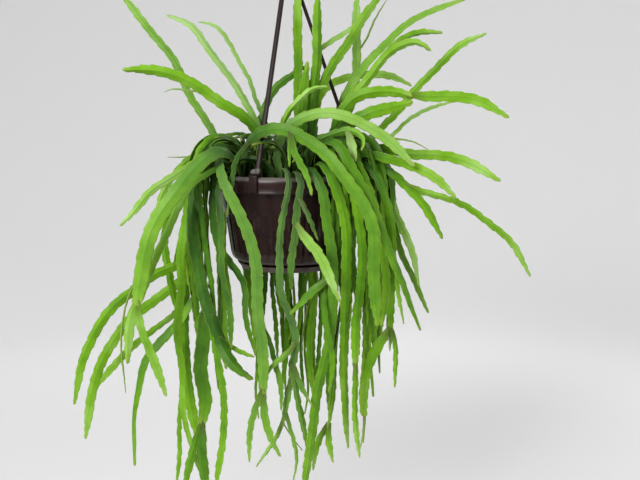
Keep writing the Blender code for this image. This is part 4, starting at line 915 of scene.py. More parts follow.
            (9, 6.5, -10), (8.5, 6, -15), (8.5, 6, -20.5), (8, 5.5, -27)]),
    ],
    "stem_back_4": [
        (0.9, None, 0, [(-2, 5.2, ROOT), (-2, 8, 2), (-2.5, 10, 0), (-3, 10.5, -4),
            (-2.5, 10, -8)]),
    ],
    "stem_back_5": [
        (1, None, 0, [(3, 5.4, ROOT), (4, 8.5, 3), (5.5, 11, 1), (6, 12, -4), (6.5, 11.5, -10),
            (6.5, 11, -20)]),
    ],
    "stem_back_6": [
        (1, None, 0, [(-3.4, 5, ROOT), (-5.5, 8.5, 2.5), (-7.5, 10.5, 0), (-8.5, 11, -6),
            (-8.5, 11, -14), (-8, 10.5, -24)]),
    ],
    "stem_back_7": [
        (0.95, None, 0, [(-0.4, 4.2, ROOT), (0, 7, 5), (0.5, 10.5, 5.5), (1, 13, 2.5),
            (1.5, 14, -2), (1.5, 13.5, -8)]),
    ],
}
print(len(STEMS), "stems,", sum(len(segments) for segments in STEMS.values()), "segments")

# %% [markdown]
# A route becomes a smooth line: a curve is drawn through the way points, points are set on it
# six millimetres apart, and its corners are evened out.

# %% Smooth lines
SAMPLE = 0.6
EASING = 3


def evenly(curve):
    """Points spaced evenly, SAMPLE apart, along a finely drawn curve."""
    steps = np.linalg.norm(np.diff(curve, axis=0), axis=1)
    reach = np.concatenate([[0.0], np.cumsum(steps)])
    count = max(4, round(reach[-1] / SAMPLE))
    places = np.linspace(0.0, reach[-1], count + 1)
    return np.column_stack([np.interp(places, reach, curve[:, axis]) for axis in range(3)])


def hermite(way, slopes, gaps, run, t):
    """Points on the cubic pieces between way points, at share t of each run."""
    width = gaps[run][:, None]
    return (way[run] * (1 + 2 * t) * (1 - t) ** 2 + slopes[run] * width * t * (1 - t) ** 2
            + way[run + 1] * t ** 2 * (3 - 2 * t) + slopes[run + 1] * width * t ** 2 * (t - 1))


def through_points(points):
    """Points SAMPLE apart on a smooth curve through a stem's way points."""
    way = np.array(points, dtype=float)
    gaps = np.linalg.norm(np.diff(way, axis=0), axis=1)
    knots = np.concatenate([[0.0], np.cumsum(gaps)])
    runs = np.diff(way, axis=0) / gaps[:, None]
    slopes = np.vstack([runs[:1], runs[-1:]])
    if len(way) > 2:
        before, after = gaps[:-1, None], gaps[1:, None]
        middle = (runs[:-1] * after + runs[1:] * before) / (before + after)
        slopes = np.vstack([runs[:1], middle, runs[-1:]])
    fine = np.linspace(0.0, knots[-1], int(knots[-1] / SAMPLE) * 8 + 8)
    run = np.clip(np.searchsorted(knots, fine, side="right") - 1, 0, len(gaps) - 1)
    t = (fine - knots[run])[:, None] / gaps[run][:, None]
    line = evenly(hermite(way, slopes, gaps, run, t))
    for _ in range(EASING):
        line[2:-1] = (line[1:-2] + 2.0 * line[2:-1] + line[3:]) / 4.0
    return line


print("a straight line of 6 cm has", len(through_points([(0, 0, 0), (0, 0, 6)])), "points")

# %% [markdown]
# Each point also gets the half width of the plain solid there, which says how much room the stem
# needs when the stems are pushed apart. A stem rises straight out of the soil for eight
# millimetres, and a shoot starts on a point of the stem that carries it.

# %% Lines and widths
ROOT_HALF_WIDTH, SHOOT_HALF_WIDTH = 0.20, 0.17
ROOT_WIDENS, SHOOT_WIDENS = 4.0, 2.6
TIP_LENGTH, TIP_HALF_WIDTH, BLUNT_HALF_WIDTH = 3.2, 0.06, 0.22
END_SHARE, SHOOT_BURIED, RISE = 0.95, 0.6, 0.8


def eased(share):
    """A share, kept between 0 and 1, that starts and ends slowly."""
    share = np.clip(share, 0.0, 1.0)
    return share * share * (3.0 - 2.0 * share)


def half_widths(place, length, width, shoot, blunt):
    """Half the width at places along a segment: narrow base, full middle, pointed tip."""
    base = min(SHOOT_HALF_WIDTH if shoot else ROOT_HALF_WIDTH, width / 2.0)
    tip = min(BLUNT_HALF_WIDTH if blunt else TIP_HALF_WIDTH, width / 2.0)
    grown = eased(place / min(SHOOT_WIDENS if shoot else ROOT_WIDENS, length * 0.5))
    left = np.clip((length - place) / min(TIP_LENGTH, length * 0.45), 0.0, 1.0)
    narrowed = 1.0 - (1.0 - left) ** 2
    return np.minimum(base + (width / 2.0 - base) * grown, tip + (width / 2.0 - tip) * narrowed)


def plan_stems(table):
    """The unsettled middle line of every segment of every stem in a table."""
    plan = []
    for name, segments in table.items():
        first = len(plan)
        carries = {parent for _, parent, share, _ in segments if share >= END_SHARE}
        for number, (width, parent, share, way) in enumerate(segments):
            start, above = 0, None
            if parent is None:
                x, y, z = way[0]
                way = [way[0], (x, y, z + RISE)] + way[1:]
            else:
                above = first + parent
                line = plan[above]["line"]
                last = len(line) - 1
                start = min(round(share * last), last - round(SHOOT_BURIED / SAMPLE))
                way = [tuple(line[start])] + way
            line = through_points(way)
            length = (len(line) - 1) * SAMPLE
            place = np.linspace(0.0, length, len(line))
            half = half_widths(place, length, width, parent is not None, number in carries)
            plan.append({"stem": name, "parent": above, "start": start, "line": line, "half": half,
                         "width": width, "blunt": number in carries})
    return plan


plan = plan_stems(STEMS)
print("planned", sum(len(segment["line"]) for segment in plan), "points")

# %% [markdown]
# Routes that are laid down one at a time pass through each other here and there. Real stems push
# each other aside, and so do these: wherever two stems, or a stem and the hanger or the pot, come
# too close, each point gives way a little, and the moves are evened out along the stem so that it
# stays a smooth curve. The solids were settled in the same way, so each strap still follows its
# own solid. The hanger stands still, and is given here as points with a radius.

# %% What the stems keep clear of
AIR = 0.06
RIM_ROLL = (7.45, -0.28, 0.32)
MOUTH = 6.85
WALL = [(-9.7, 0.0), (-9.6, 5.3), (-8.8, 5.5), (-8.2, 6.1), (-1.8, 7.1), (-1.7, 7.75),
        (-0.2, 7.75)]
CLIP_POINTS = [(6.9, -0.2), (7.4, 0.1), (7.9, -0.1), (7.9, -0.7), (7.9, -1.2)]
ROD_POINTS, ROD_RADIUS, CLIP_RADIUS = 48, 0.18, 0.425
FOOT_REACH, FOOT_HEIGHT, HEAD_REACH, HEAD_HEIGHT = 7.5, 0.39, 0.36, 20.3


def fixed_points():
    """Points along the hanger, with their radii."""
    points, radii = [], []
    for turn in STRAND_TURNS:
        aim = np.array(at_turn(turn, 1.0, 0.0))
        foot = aim * FOOT_REACH + np.array([0.0, 0.0, FOOT_HEIGHT])
        head = aim * HEAD_REACH + np.array([0.0, 0.0, HEAD_HEIGHT])
        for share in np.linspace(0.0, 1.0, ROD_POINTS):
            points.append(foot + (head - foot) * share)
            radii.append(ROD_RADIUS)
        for radius, height in CLIP_POINTS:
            points.append(aim * radius + np.array([0.0, 0.0, height]))
            radii.append(CLIP_RADIUS)
    return np.array(points), np.array(radii)


def keep_off_pot(points, half, outside):
    """Move points that are in the pot's wall, or too near it, out of it."""
    radius = np.maximum(np.hypot(points[:, 0], points[:, 1]), 1e-6)
    height = points[:, 2]
    reach = radius.copy()
    rim_radius, rim_height, rim_thick = RIM_ROLL
    away = np.hypot(radius - rim_radius, height - rim_height)
    need = rim_thick + half + AIR
    near = (away < need) & (height > rim_height)
    scale = need[near] / np.maximum(away[near], 1e-6)
    reach[near] = rim_radius + (radius[near] - rim_radius) * scale
    lifted = height.copy()
    lifted[near] = rim_height + (height[near] - rim_height) * scale
    wall = np.interp(height, *np.transpose(WALL))
    low = (height <= rim_height) & outside
    reach[low] = np.maximum(reach[low], wall[low] + (half[low] + AIR) * (wall[low] > 0.0))
    inside = (height <= rim_height) & ~outside
    reach[inside] = np.minimum(reach[inside], MOUTH - half[inside])
    moved = points.copy()
    moved[:, :2] *= (reach / radius)[:, None]
    moved[:, 2] = lifted
    return moved


still, still_half = fixed_points()
print(len(still), "points stand still")

# %% [markdown]
# Pushing every point against every other would be slow, so the pairs that are near each other are
# listed now and then, and only those are looked at. Points of one stem are left out where they
# belong together: along one segment, and where a shoot has just left it. The moves are averaged
# along the stem, as if the stem were a little stiff. Stems give way more to the front and back
# than sideways, so the clump keeps its outline from the front.

# %% Neighbours and moves
NEIGHBOUR_REACH, BLOCK = 2.2, 400
YIELD = np.array([0.35, 1.4, 0.35])
NUDGE = 0.02


def neighbours(points, movable, stem, owner, young):
    """Pairs of points, the first movable, that are near each other and not on one segment."""
    first, second = [], []
    for start in range(0, movable, BLOCK):
        block = points[start:min(start + BLOCK, movable)]
        distance = np.linalg.norm(block[:, None] - points[None], axis=2)
        near_one, near_two = np.nonzero(distance < NEIGHBOUR_REACH)
        first.append(near_one + start)
        second.append(near_two)
    first, second = np.concatenate(first), np.concatenate(second)
    both = second < movable
    partner = np.where(both, second, 0)
    same_stem = both & (stem[first] == stem[partner])
    joined = same_stem & ((owner[first] == owner[partner]) | young[first] | young[partner])
    return first[~joined], second[~joined]


def even_out(moved, starts, ends):
    """Average each point's move with its neighbours' along the stem."""
    calm = moved.copy()
    for first, last in zip(starts, ends):
        part = moved[first:last]
        calm[first + 1:last - 1] = 0.5 * part[1:-1] + 0.25 * (part[:-2] + part[2:])
        calm[last - 1] = 0.5 * (part[-1] + part[-2])
    return calm


def pushes(everything, one, two, half, order):
    """How far each close pair pushes its first point."""
    apart = everything[one] - everything[two]
    distance = np.linalg.norm(apart, axis=1)
    need = np.sqrt((half[one] + half[two] + AIR) ** 2 + SAMPLE ** 2 / 2.0)
    close = distance < need
    push = apart[close] * YIELD
    push[:, 1] += np.where(np.abs(push[:, 1]) < NUDGE, order[close], 0.0)
    push /= np.linalg.norm(push, axis=1)[:, None]
    return close, push * (0.5 * (need[close] - distance[close]))[:, None]


print("settling helpers ready")

# %% [markdown]
# Each round pushes the close pairs apart, calms the moves, lifts the stems off the pot, and then
# puts the starts back where they belong. Array arithmetic does a whole round at once; loops over
# the points would take minutes in Python.

# %% Settle the stems
SETTLE_ROUNDS, NEIGHBOUR_ROUNDS = 160, 8
YOUNG = 4.0
ROOT_LIMIT, OVER_RIM = 6.2, 7.4


def hold_starts(plan, planned, moved, starts):
    """Roots stay in the soil, and a shoot's start stays on the stem that carries it."""
    for number, segment in enumerate(plan):
        first = starts[number]
        if segment["parent"] is None:
            moved[first:first + 2, 2] = 0.0
            spot = planned[first, :2] + moved[first, :2]
            away = np.linalg.norm(spot)
            if away > ROOT_LIMIT:
                moved[first, :2] -= spot * (1.0 - ROOT_LIMIT / away)
            moved[first + 1, :2] = moved[first, :2]
        else:
            moved[first] = moved[starts[segment["parent"]] + segment["start"]]


def hanging_outside(plan, planned, starts, ends):
    """Which points lie beyond the rim, seen along the stem from its root."""
    outside = np.zeros(len(planned), dtype=bool)
    for number, segment in enumerate(plan):
        part = slice(starts[number], ends[number])
        over = np.hypot(planned[part, 0], planned[part, 1]) > OVER_RIM
        if segment["parent"] is not None:
            over[0] |= outside[starts[segment["parent"]] + segment["start"]]
        outside[part] = np.logical_or.accumulate(over)
    return outside


def settle(plan, still, still_half, rounds):
    """Push the stems of a plan apart, and away from what stands still."""
    sizes = [len(segment["line"]) for segment in plan]
    ends = np.cumsum(sizes)
    starts = ends - sizes
    planned = np.vstack([segment["line"] for segment in plan])
    half = np.concatenate([segment["half"] for segment in plan])
    owner = np.concatenate([np.full(size, number) for number, size in enumerate(sizes)])
    names = sorted({segment["stem"] for segment in plan})
    stem = np.array([names.index(segment["stem"]) for segment in plan])[owner]
    along = np.concatenate([np.arange(size) * SAMPLE for size in sizes])
    is_root = np.array([segment["parent"] is None for segment in plan])
    young = (along < YOUNG) & ~is_root[owner]
    outside = hanging_outside(plan, planned, starts, ends)
    all_half = np.concatenate([half, still_half])
    moved = np.zeros_like(planned)
    for turn in range(rounds):
        everything = np.vstack([planned + moved, still])
        if turn % NEIGHBOUR_ROUNDS == 0:
            one, two = neighbours(everything, len(planned), stem, owner, young)
            order = np.where(one < two, NUDGE, -NUDGE)
        close, push = pushes(everything, one, two, all_half, order)
        total, count = np.zeros_like(planned), np.zeros(len(planned))
        np.add.at(total, one[close], push)
        np.add.at(count, one[close], 1.0)
        moved = even_out(moved + total / np.maximum(count, 1.0)[:, None], starts, ends)
        moved = keep_off_pot(planned + moved, half, outside) - planned
        hold_starts(plan, planned, moved, starts)
    for number, segment in enumerate(plan):
        part = slice(starts[number], ends[number])
        segment["line"] = planned[part] + moved[part]


settle(plan, still, still_half, SETTLE_ROUNDS)
print("stems settled")

# %% [markdown]
# A clump like this has a second storey that nobody draws: short old stems fill the mouth of the
# pot, and narrow ones hang in the shade behind the outer curtain. They are grown by rule from
# seeded random numbers, and settled in the same way round the stems that are already in place.
# The front left of the pot stays open, because the plant parts there.


# %% Inner stems
CROWN_STEMS, CURTAIN_STEMS = 54, 15
GOLDEN_TURN = 137.5
INNER_ROUNDS = 64
CURTAIN_SECTORS = {
    "front": (-66.0, -18.0, -29.0, -9.0), "left": (172.0, 216.0, -25.0, -8.0),
    "right": (-40.0, 12.0, -19.0, -7.0), "back": (25.0, 155.0, -22.0, -6.0),
    "low": (60.0, 130.0, -30.0, -18.0),
}


def inner_stems(chance):
    """A table of short stems in the pot's mouth and narrow ones behind the curtain."""
    table = {}
    for number in range(CROWN_STEMS):
        turn = number * GOLDEN_TURN
        root = 1.2 + 4.6 * math.sqrt((number + 0.5) / CROWN_STEMS)
        lean = turn + chance.uniform(-35.0, 35.0)
        high = chance.uniform(1.4, 3.8)
        tip = root + chance.uniform(0.8, 3.0)
        way = [at_turn(turn, root, ROOT), at_turn(turn, root + 0.3, 0.5 * high),
               at_turn((turn + lean) / 2.0, 0.5 * (root + tip), high),
               at_turn(lean, tip, high - chance.uniform(-0.6, 1.4))]
        table[f"crown_{number}"] = [(chance.uniform(0.50, 0.85), None, 0, way)]
    for number in range(CURTAIN_STEMS * len(CURTAIN_SECTORS)):
        sector = list(CURTAIN_SECTORS)[number % len(CURTAIN_SECTORS)]
        low, high, deepest, shallowest = CURTAIN_SECTORS[sector]
        turn = chance.uniform(low, high)
        arch = chance.uniform(2.2, 3.6)
        drop = chance.uniform(deepest, shallowest)
        out = chance.uniform(9.2, 10.4)
        way = [at_turn(turn, chance.uniform(3.6, 5.4), ROOT), at_turn(turn, 6.4, arch),
               at_turn(turn, 8.2, arch), at_turn(turn, out - 0.3, 0.2), at_turn(turn, out, -4.0)]
        while way[-1][2] > drop + 2.0:
            out += chance.uniform(-0.5, 0.3)
            turn += chance.uniform(-4.0, 4.0)
            way.append(at_turn(turn, out, max(drop, way[-1][2] - 4.5)))
        table[f"curtain_{sector}_{number}"] = [(chance.uniform(0.50, 0.85), None, 0, way)]
    return table


inner = plan_stems(inner_stems(random.Random(5)))
outer_points = np.vstack([segment["line"] for segment in plan])
outer_half = np.concatenate([segment["half"] for segment in plan])
settle(inner, np.vstack([still, outer_points]), np.concatenate([still_half, outer_half]),
       INNER_ROUNDS)
print(len(inner), "inner stems")

# %% [markdown]
# The middle line of a stem is now known, so the strap can be bent round it. First the line is
# made four times as fine, and every strap is told where to face. Flat stems turn a broad side to
# the light, so they look to the front, more or less, and each one by an angle of its own. Then
# the strap twists a little to and fro towards its tip, hanging ones more than upright ones.

# %% Where a strap faces
FINER = 4
ANCHOR = 0.6
FOLLOW_LEAN, INNER_FOLLOW_LEAN = 0.25, 0.6
ROLL, INNER_ROLL, ROLL_STEP = math.radians(20.0), math.radians(55.0), 2.4


def finer(line):
    """Points on a smooth curve through a line's points, FINER times as close together."""
    at = np.linspace(0.0, len(line) - 1, (len(line) - 1) * FINER + 1)
    run = np.minimum(at.astype(int), len(line) - 2)
    slopes = np.gradient(line, axis=0)
    return hermite(line, slopes, np.ones(len(line) - 1), run, (at - run)[:, None])


def facing(segment, number):
    """Where a strap's flat side looks: to the front, turned a little to the stem's own side."""
    line = segment["line"]
    middle = line[int(ANCHOR * (len(line) - 1))]
    follow, roll = FOLLOW_LEAN, ROLL
    if segment["stem"] not in STEMS:
        follow, roll = INNER_FOLLOW_LEAN, INNER_ROLL
    bearing = math.atan2(middle[0], -middle[1])
    folded = (bearing + math.pi / 2.0) % math.pi - math.pi / 2.0
    look = follow * folded + roll * math.sin(ROLL_STEP * number)
    return math.sin(look), -math.cos(look), 0.0


def twisted(across, through, most, start):
    """Turn the frames slowly to and fro along a strap, more towards its tip."""
    share = np.linspace(0.0, 1.0, len(across))
    angle = (most * share * np.sin(start + 4.0 * share))[:, None]
    return (np.cos(angle) * across + np.sin(angle) * through,
            np.cos(angle) * through - np.sin(angle) * across)


print("first strap faces", tuple(round(value, 2) for value in facing(plan[0], 0)))

# %% [markdown]
# A strap is slim where it leaves the soil, narrow where it leaves another stem, and rounded at
# its tip. Some are broader or slimmer than their route's width says. Along both edges run the
# scallops, with a notch between two of them. The notches are thirteen millimetres apart on a
# grown stretch and closer near the tip, and their count grows along the strap.

# %% Width and notches
NOTCH_GAP, TIP_NOTCH_GAP, NOTCH_REACH = 1.32, 0.72, 4.0
BLADE_SHARE = 1.02
WIDER = {
    "stem_left_10": 1.30, "stem_back_1": 1.25, "stem_front_5": 0.85, "stem_upright_1": 1.12,
    "stem_upright_2": 1.08, "stem_left_11": 1.10, "stem_right_10": 0.88, "stem_front_8": 0.78,
    "stem_front_9": 0.86, "stem_front_10": 0.88, "stem_back_2": 1.18, "stem_upright_5": 1.18,
    "stem_right_12": 1.12, "stem_front_6": 0.84, "stem_front_7": 0.90, "stem_left_3": 1.18,
    "stem_right_1": 1.18, "stem_right_2": 1.10, "stem_upright_6": 1.10,
}
THIN_SHOOT, THIN_SHARE = 0.35, 0.6
SLIM_BASE, SLIM_LENGTH, LONG_SLIM = 0.68, 9.0, {"stem_front_10": 16.0, "stem_front_8": 22.0}
SOIL_HALF_WIDTH, SOIL_WIDENS = 0.20, 4.0
NECK_HALF_WIDTH, NECK_WIDENS = 0.25, 2.2
TIP_TAPER, TIP_SHARE, JOINT_SHARE, TIP_ROUND, LEAST = 3.0, 0.42, 0.66, 0.40, 0.03


def notch_count(place, length, offset):
    """How many notches lie between the base and each place, counted in fractions."""
    left = length - place
    gap = np.interp(left, [0.0, NOTCH_REACH], [TIP_NOTCH_GAP, NOTCH_GAP])
    steps = np.diff(place, prepend=place[0]) / gap
    return np.cumsum(steps) + offset


def strap_half(segment, place, length):
    """Half the strap's width at places along it: a slim base, a full middle and a rounded tip."""
    width = segment["width"] * (THIN_SHARE if segment["width"] <= THIN_SHOOT else 1.0)
    full = 0.5 * width * WIDER.get(segment["stem"], 1.0) * BLADE_SHARE
    if segment["parent"] is None:
        base = min(SOIL_HALF_WIDTH, full)
        half = base + (full - base) * eased(place / SOIL_WIDENS)
        slim = eased(place / LONG_SLIM.get(segment["stem"], SLIM_LENGTH))
        half = np.minimum(half, full * (SLIM_BASE + (1.0 - SLIM_BASE) * slim))
    else:
        base = min(NECK_HALF_WIDTH, full)
        half = base + (full - base) * eased(place / min(NECK_WIDENS, 0.5 * length))
    left = length - place
    end = JOINT_SHARE if segment["blunt"] else TIP_SHARE
    half = half * (end + (1.0 - end) * eased(left / min(TIP_TAPER, 0.5 * length)))
    last = np.clip(left / TIP_ROUND, 0.0, 1.0)
    return np.maximum(half * np.sqrt(last * (2.0 - last)), LEAST)


print("notches on the first 10 cm of a long stem:",
      int(notch_count(np.linspace(0.0, 10.0, 11), 30.0, 0.0)[-1]))

# %% [markdown]
# A straight tube with twenty corners to a ring is made first, then every corner is moved to its
# place. The place across the strap runs from -1 at one edge to 1 at the other, with more corners
# near the midrib and near the edges, where the shape changes fast. The two edges take turns, so
# one has its notch where the other bulges. Each lobe swells towards the tip and steps in at the
# notch. Last, the strap is cupped, folded a little along its midrib, and given slow waves.

# %% Rings of a strap
AROUND, INNER_AROUND = 20, 12
TWIST, HANGING_TWIST, HANGS = 0.40, 0.75, -6.0
SCALLOP, LOBE_VARIES = 0.070, 0.45
LOBE_PLACES = [0.0, 0.12, 0.45, 0.74, 0.86, 0.94, 1.0]
LOBE_SWELLS = [-0.72, -0.42, 0.22, 0.62, 0.70, 0.10, -0.72]
BENDS, FOLDS, WAVE = (-0.20, 0.20), (-0.26, 0.30), 0.08
THICKEST, MIDRIB, MIDRIB_SHARE = 0.155, 0.44, 0.17
BURIED = 0.6


def across_shares(around):
    """Place across the strap, from -1 to 1, and side, -1 or 1, of each corner of a ring."""
    turn = math.tau * np.arange(around) / around
    x, y = np.cos(turn), np.sin(turn)
    return np.sign(x) * np.abs(x) ** 1.5, y


def strap_thickness(share):
    """Half the strap's thickness, as a share of its greatest: thin edges and a raised midrib."""
    blade = 0.40 * np.sqrt(np.maximum(1.0 - share ** 2, 0.0)) + 0.16 * (1.0 - np.abs(share))
    return blade + MIDRIB * np.exp(-(share / MIDRIB_SHARE) ** 2)


def strap_rings(segment, number, chance, around):
    """Where every corner of one segment's strap goes, and what the skin needs to know there."""
    line = segment["line"]
    if segment["parent"] is None:
        line = np.vstack([line[0] - (0.0, 0.0, BURIED), line])
    fine = finer(line)
    across, through = carried_frames(fine, facing(segment, number), ANCHOR)
    most = chance.uniform(-1.0, 1.0) * (HANGING_TWIST if line[-1][2] < HANGS else TWIST)
    across, through = twisted(across, through, most, chance.uniform(0.0, 6.0))
    length = (len(line) - 1) * SAMPLE
    place = np.linspace(0.0, length, len(fine))
    half = strap_half(segment, place, length)
    share, side = across_shares(around)
    notch = notch_count(place, length, chance.random())
    notch = notch[:, None] + np.where(share < 0.0, 0.5, 0.0)[None, :]
    lobe = np.interp(notch % 1.0, LOBE_PLACES, LOBE_SWELLS)
    lobe = lobe * (1.0 + LOBE_VARIES * np.sin(np.floor(notch) * 2.3 + number))
    deep = np.minimum(SCALLOP, 0.30 * half)[:, None] * np.clip(place / 2.0, 0.2, 1.0)[:, None]
    reach = share[None, :] * half[:, None]
    reach = reach + np.sign(share) * np.abs(share) ** 3 * lobe * deep
    thick = np.minimum(THICKEST, 0.30 * half + 0.07)[:, None]
    lift = np.sign(side) * strap_thickness(share)[None, :] * thick
    lift[:, np.abs(side) < 1e-6] = 0.0
    bend, fold = chance.uniform(*BENDS), chance.uniform(*FOLDS)
    wave = WAVE * np.sin(place * 1.1 + chance.uniform(0.0, math.tau))
    curl = (bend + wave)[:, None] * share[None, :] ** 2 + fold * np.abs(share)[None, :]
    curl = curl * half[:, None]
    at = (fine[:, None, :] + across[:, None, :] * reach[:, :, None]
          + through[:, None, :] * (lift + curl)[:, :, None])
    strap = np.stack([np.broadcast_to(share, notch.shape), notch,
                      np.broadcast_to((length - place)[:, None], notch.shape)], axis=2)
    return at, strap, np.broadcast_to(place[:, None], notch.shape)


print("shares across:", np.round(across_shares(AROUND)[0][:7], 2))

# %% [markdown]
# How light a stem is depends on its age, and the tones also paint in the light and shade that each
# stem gets: stems in the open over the right and left are pale, while those deep in the clump and
# those in shade in front of the pot are dark, which is painted shade. The table gives the tones of
# each stem's segments from 0, dark, to 1, pale. The second table says how much grey-green wax lies
# on a stem, for those that have more than a trace of it; part of that grey stands for a painted
# sheen.

# %% Tones
# tones hold each stem's own green and also its painted light and shade; low tones are painted shade
TONES = {
    "stem_upright_1": [0.63], "stem_upright_2": [0.63, 0.82], "stem_upright_3": [0.54],
    "stem_upright_4": [0.69], "stem_upright_5": [0.72, 0.68], "stem_upright_6": [0.40],
    "stem_upright_7": [0.75], "stem_upright_8": [0.85],
    "stem_right_1": [0.66], "stem_right_2": [0.70], "stem_right_3": [0.70],
    "stem_right_4": [0.58, 0.60], "stem_right_5": [0.60], "stem_right_6": [0.78, 0.92],
    "stem_right_7": [0.76], "stem_right_8": [0.68], "stem_right_9": [0.70],
    "stem_right_10": [0.60, 0.72], "stem_right_11": [0.92], "stem_right_12": [0.80],
    "stem_right_13": [0.55, 0.45, 0.57, 0.66, 0.80],
    "stem_front_1": [0.53, 0.45, 0.45, 0.20], "stem_front_2": [0.55, 0.90],
    "stem_front_3": [0.42, 0.66], "stem_front_4": [0.60], "stem_front_5": [0.64],
    "stem_front_6": [0.56, 0.65], "stem_front_7": [0.57, 0.40, 0.68, 0.55, 0.60],
    "stem_front_8": [0.27, 0.40, 0.50, 0.68, 0.50, 0.52, 0.38, 0.56],
    "stem_front_9": [0.33, 0.76, 0.15], "stem_front_10": [0.52, 0.57, 0.64, 0.47],
    "stem_left_1": [0.60], "stem_left_2": [0.66, 0.70], "stem_left_3": [0.90],
    "stem_left_4": [0.70], "stem_left_5": [0.70], "stem_left_6": [0.62], "stem_left_7": [0.82],
    "stem_left_8": [0.55, 0.60, 0.70], "stem_left_9": [0.65],
    "stem_left_10": [0.55, 0.57, 0.45, 0.35], "stem_left_11": [0.64, 0.60],
    "stem_left_12": [0.22, 0.50, 0.40, 0.52, 0.30, 0.40], "stem_left_13": [0.30],
    "stem_left_14": [0.24],
    "stem_back_1": [0.57, 0.58, 0.62], "stem_back_2": [0.56, 0.60], "stem_back_3": [0.59],
    "stem_back_4": [0.58], "stem_back_5": [0.60], "stem_back_6": [0.60], "stem_back_7": [0.58],
}
# grey-green wax on each stem; part of it stands for a painted sheen, a greyish reflection
WAX_AND_SHEEN = {
    "stem_front_10": 0.20, "stem_right_7": 0.26, "stem_left_3": 0.42, "stem_left_4": 0.42,
    "stem_left_1": 0.26, "stem_left_8": 0.14, "stem_front_8": 0.24, "stem_front_2": 0.12,
    "stem_right_1": 0.20, "stem_upright_5": 0.22, "stem_front_9": 0.20, "stem_left_5": 0.16,
    "stem_left_7": 0.16, "stem_back_6": 0.14, "stem_upright_6": 0.10, "stem_upright_4": 0.10,
    "stem_left_9": 0.14, "stem_left_12": 0.06, "stem_front_1": 0.10, "stem_right_2": 0.08,
    "stem_left_13": 0.10, "stem_front_7": 0.08, "stem_back_7": 0.10,
}
LITTLE_WAX_AND_SHEEN = 0.04
# inner stems get low tones: painted shade deep in the clump and behind the curtain
INNER_TONES = {"crown": (0.10, 0.38), "curtain": (0.24, 0.56)}
print("tones for", len(TONES), "stems")

# %% [markdown]
# The skin reads two attributes that are written on the corners: `strap` holds the place across,
# the count of notches and the distance to the tip, and `tone` holds lightness, the kind of
# segment (-1 from the soil, 0 a side shoot, 1 a thin new one) and the distance from the base. The
# ends near the soil are darkened, partly the darker green of old stems and partly painted shade
# deep in the clump, the young ends are lightened, and everything low down is lightened a little
# as painted light. Then come cloudy mottling, a fine dark midrib, a yellowish margin, a small
# woolly areole in each notch, an olive tip, a brown base and a yellowish tint on thin new shoots.
# A third attribute holds the amount of grey-green wax, part of which stands for a painted sheen.

# %% Stem skin
GREENS = {
    0.0: (0.006, 0.028, 0.001), 0.25: (0.021, 0.082, 0.002), 0.5: (0.067, 0.190, 0.002),
    0.7: (0.132, 0.305, 0.005), 0.85: (0.210, 0.400, 0.045), 1.0: (0.300, 0.500, 0.130),
}
# the first colour is the grey-green of wax and of painted sheen
WAX_AND_SHEEN_GREY, DARK_RIB, YELLOW_EDGE = (0.185, 0.280, 0.125), (0.030, 0.090, 0.012), (0.250, 0.360, 0.040)
WOOL, OLIVE, CORK = (0.190, 0.115, 0.060), (0.230, 0.310, 0.045), (0.060, 0.060, 0.020)
NEW_GROWTH = (0.200, 0.260, 0.070)


def stem_skin():
    """Green skin that is mottled, ribbed, edged and waxed as the attributes say."""
    made, wire, place, connect = new_look(
        "stem_skin", IOR=1.42, Specular_IOR_Level=0.13, Subsurface_Weight=0.10,
        Subsurface_Scale=2.0 * MM, Subsurface_Radius=(0.7, 1.0, 0.25))
    strap = wire.node("ShaderNodeAttribute", {"attribute_name": "strap"}, {}, 1)
    tone = wire.node("ShaderNodeAttribute", {"attribute_name": "tone"}, {}, 1)
    share, notch, to_tip = (part_of(strap, axis) for axis in range(3))
    light, kind, from_base = (part_of(tone, axis) for axis in range(3))
    bloom = wire.node("ShaderNodeAttribute", {"attribute_name": "bloom"}, {}, 2)
    thin = step(kind, 0.3, 0.7)
    old = step(kind, 0.0, -0.5)
    clouds = noise(wire, place, 55.0, 4.0, 0.6)
    patches = noise(wire, place, 16.0, 2.0, 0.5)
    grain = noise(wire, place, 1100.0, 2.0, 0.6)
    # partly painted shade: stems darken towards the soil deep in the clump, besides the darker
    # green of old stems
    deep = step(from_base, 11.0, 1.0) * old
    # painted light: parts hanging low are lightened a little
    hanging = step(part_of(place, 2), above_rim(-70.0), above_rim(-220.0))
    young = step(to_tip, 7.0, 0.5)
    shade = light - deep * 0.50 + young * 0.12 + hanging * 0.07
    shade = shade + (clouds - 0.5) * 0.48 + (patches - 0.5) * 0.46
    colour = shade.node("ShaderNodeValToRGB", {"stops": GREENS}, {0: shade})
    edge = abs(share)
    # grey-green wax mixed in, part of it a painted sheen
    colour = blend(bloom * (clouds + 0.5), colour, WAX_AND_SHEEN_GREY)
    midrib = step(edge, 0.10, 0.0)
    colour = blend(midrib * (clouds * 0.5 + 0.1), colour, DARK_RIB)
    margin = step(edge, 0.86, 0.99)
    colour = blend(margin * 0.50, colour, YELLOW_EDGE)
    dots = step(abs(notch.maths("FRACT", notch) - 0.97), 0.055, 0.02) * step(edge, 0.80, 0.95)
    colour = blend(dots * 0.85, colour, WOOL)
    tip = step(to_tip, 1.3, 0.1)
    colour = blend(tip * 0.45, colour, OLIVE)
    base = step(from_base, 2.4, 0.2)
    colour = blend(base * 0.60, colour, CORK)
    colour = blend(thin * 0.70, colour, NEW_GROWTH)
    roughness = clouds * 0.16 + dots * 0.25 + 0.32
    height = grain * 0.25 + clouds * 0.5 + dots * 1.2
    connect(colour, roughness, height, 0.25 * MM, 0.5)
    return made


skin = stem_skin()
print("skin:", len(skin.node_tree.nodes), "nodes")

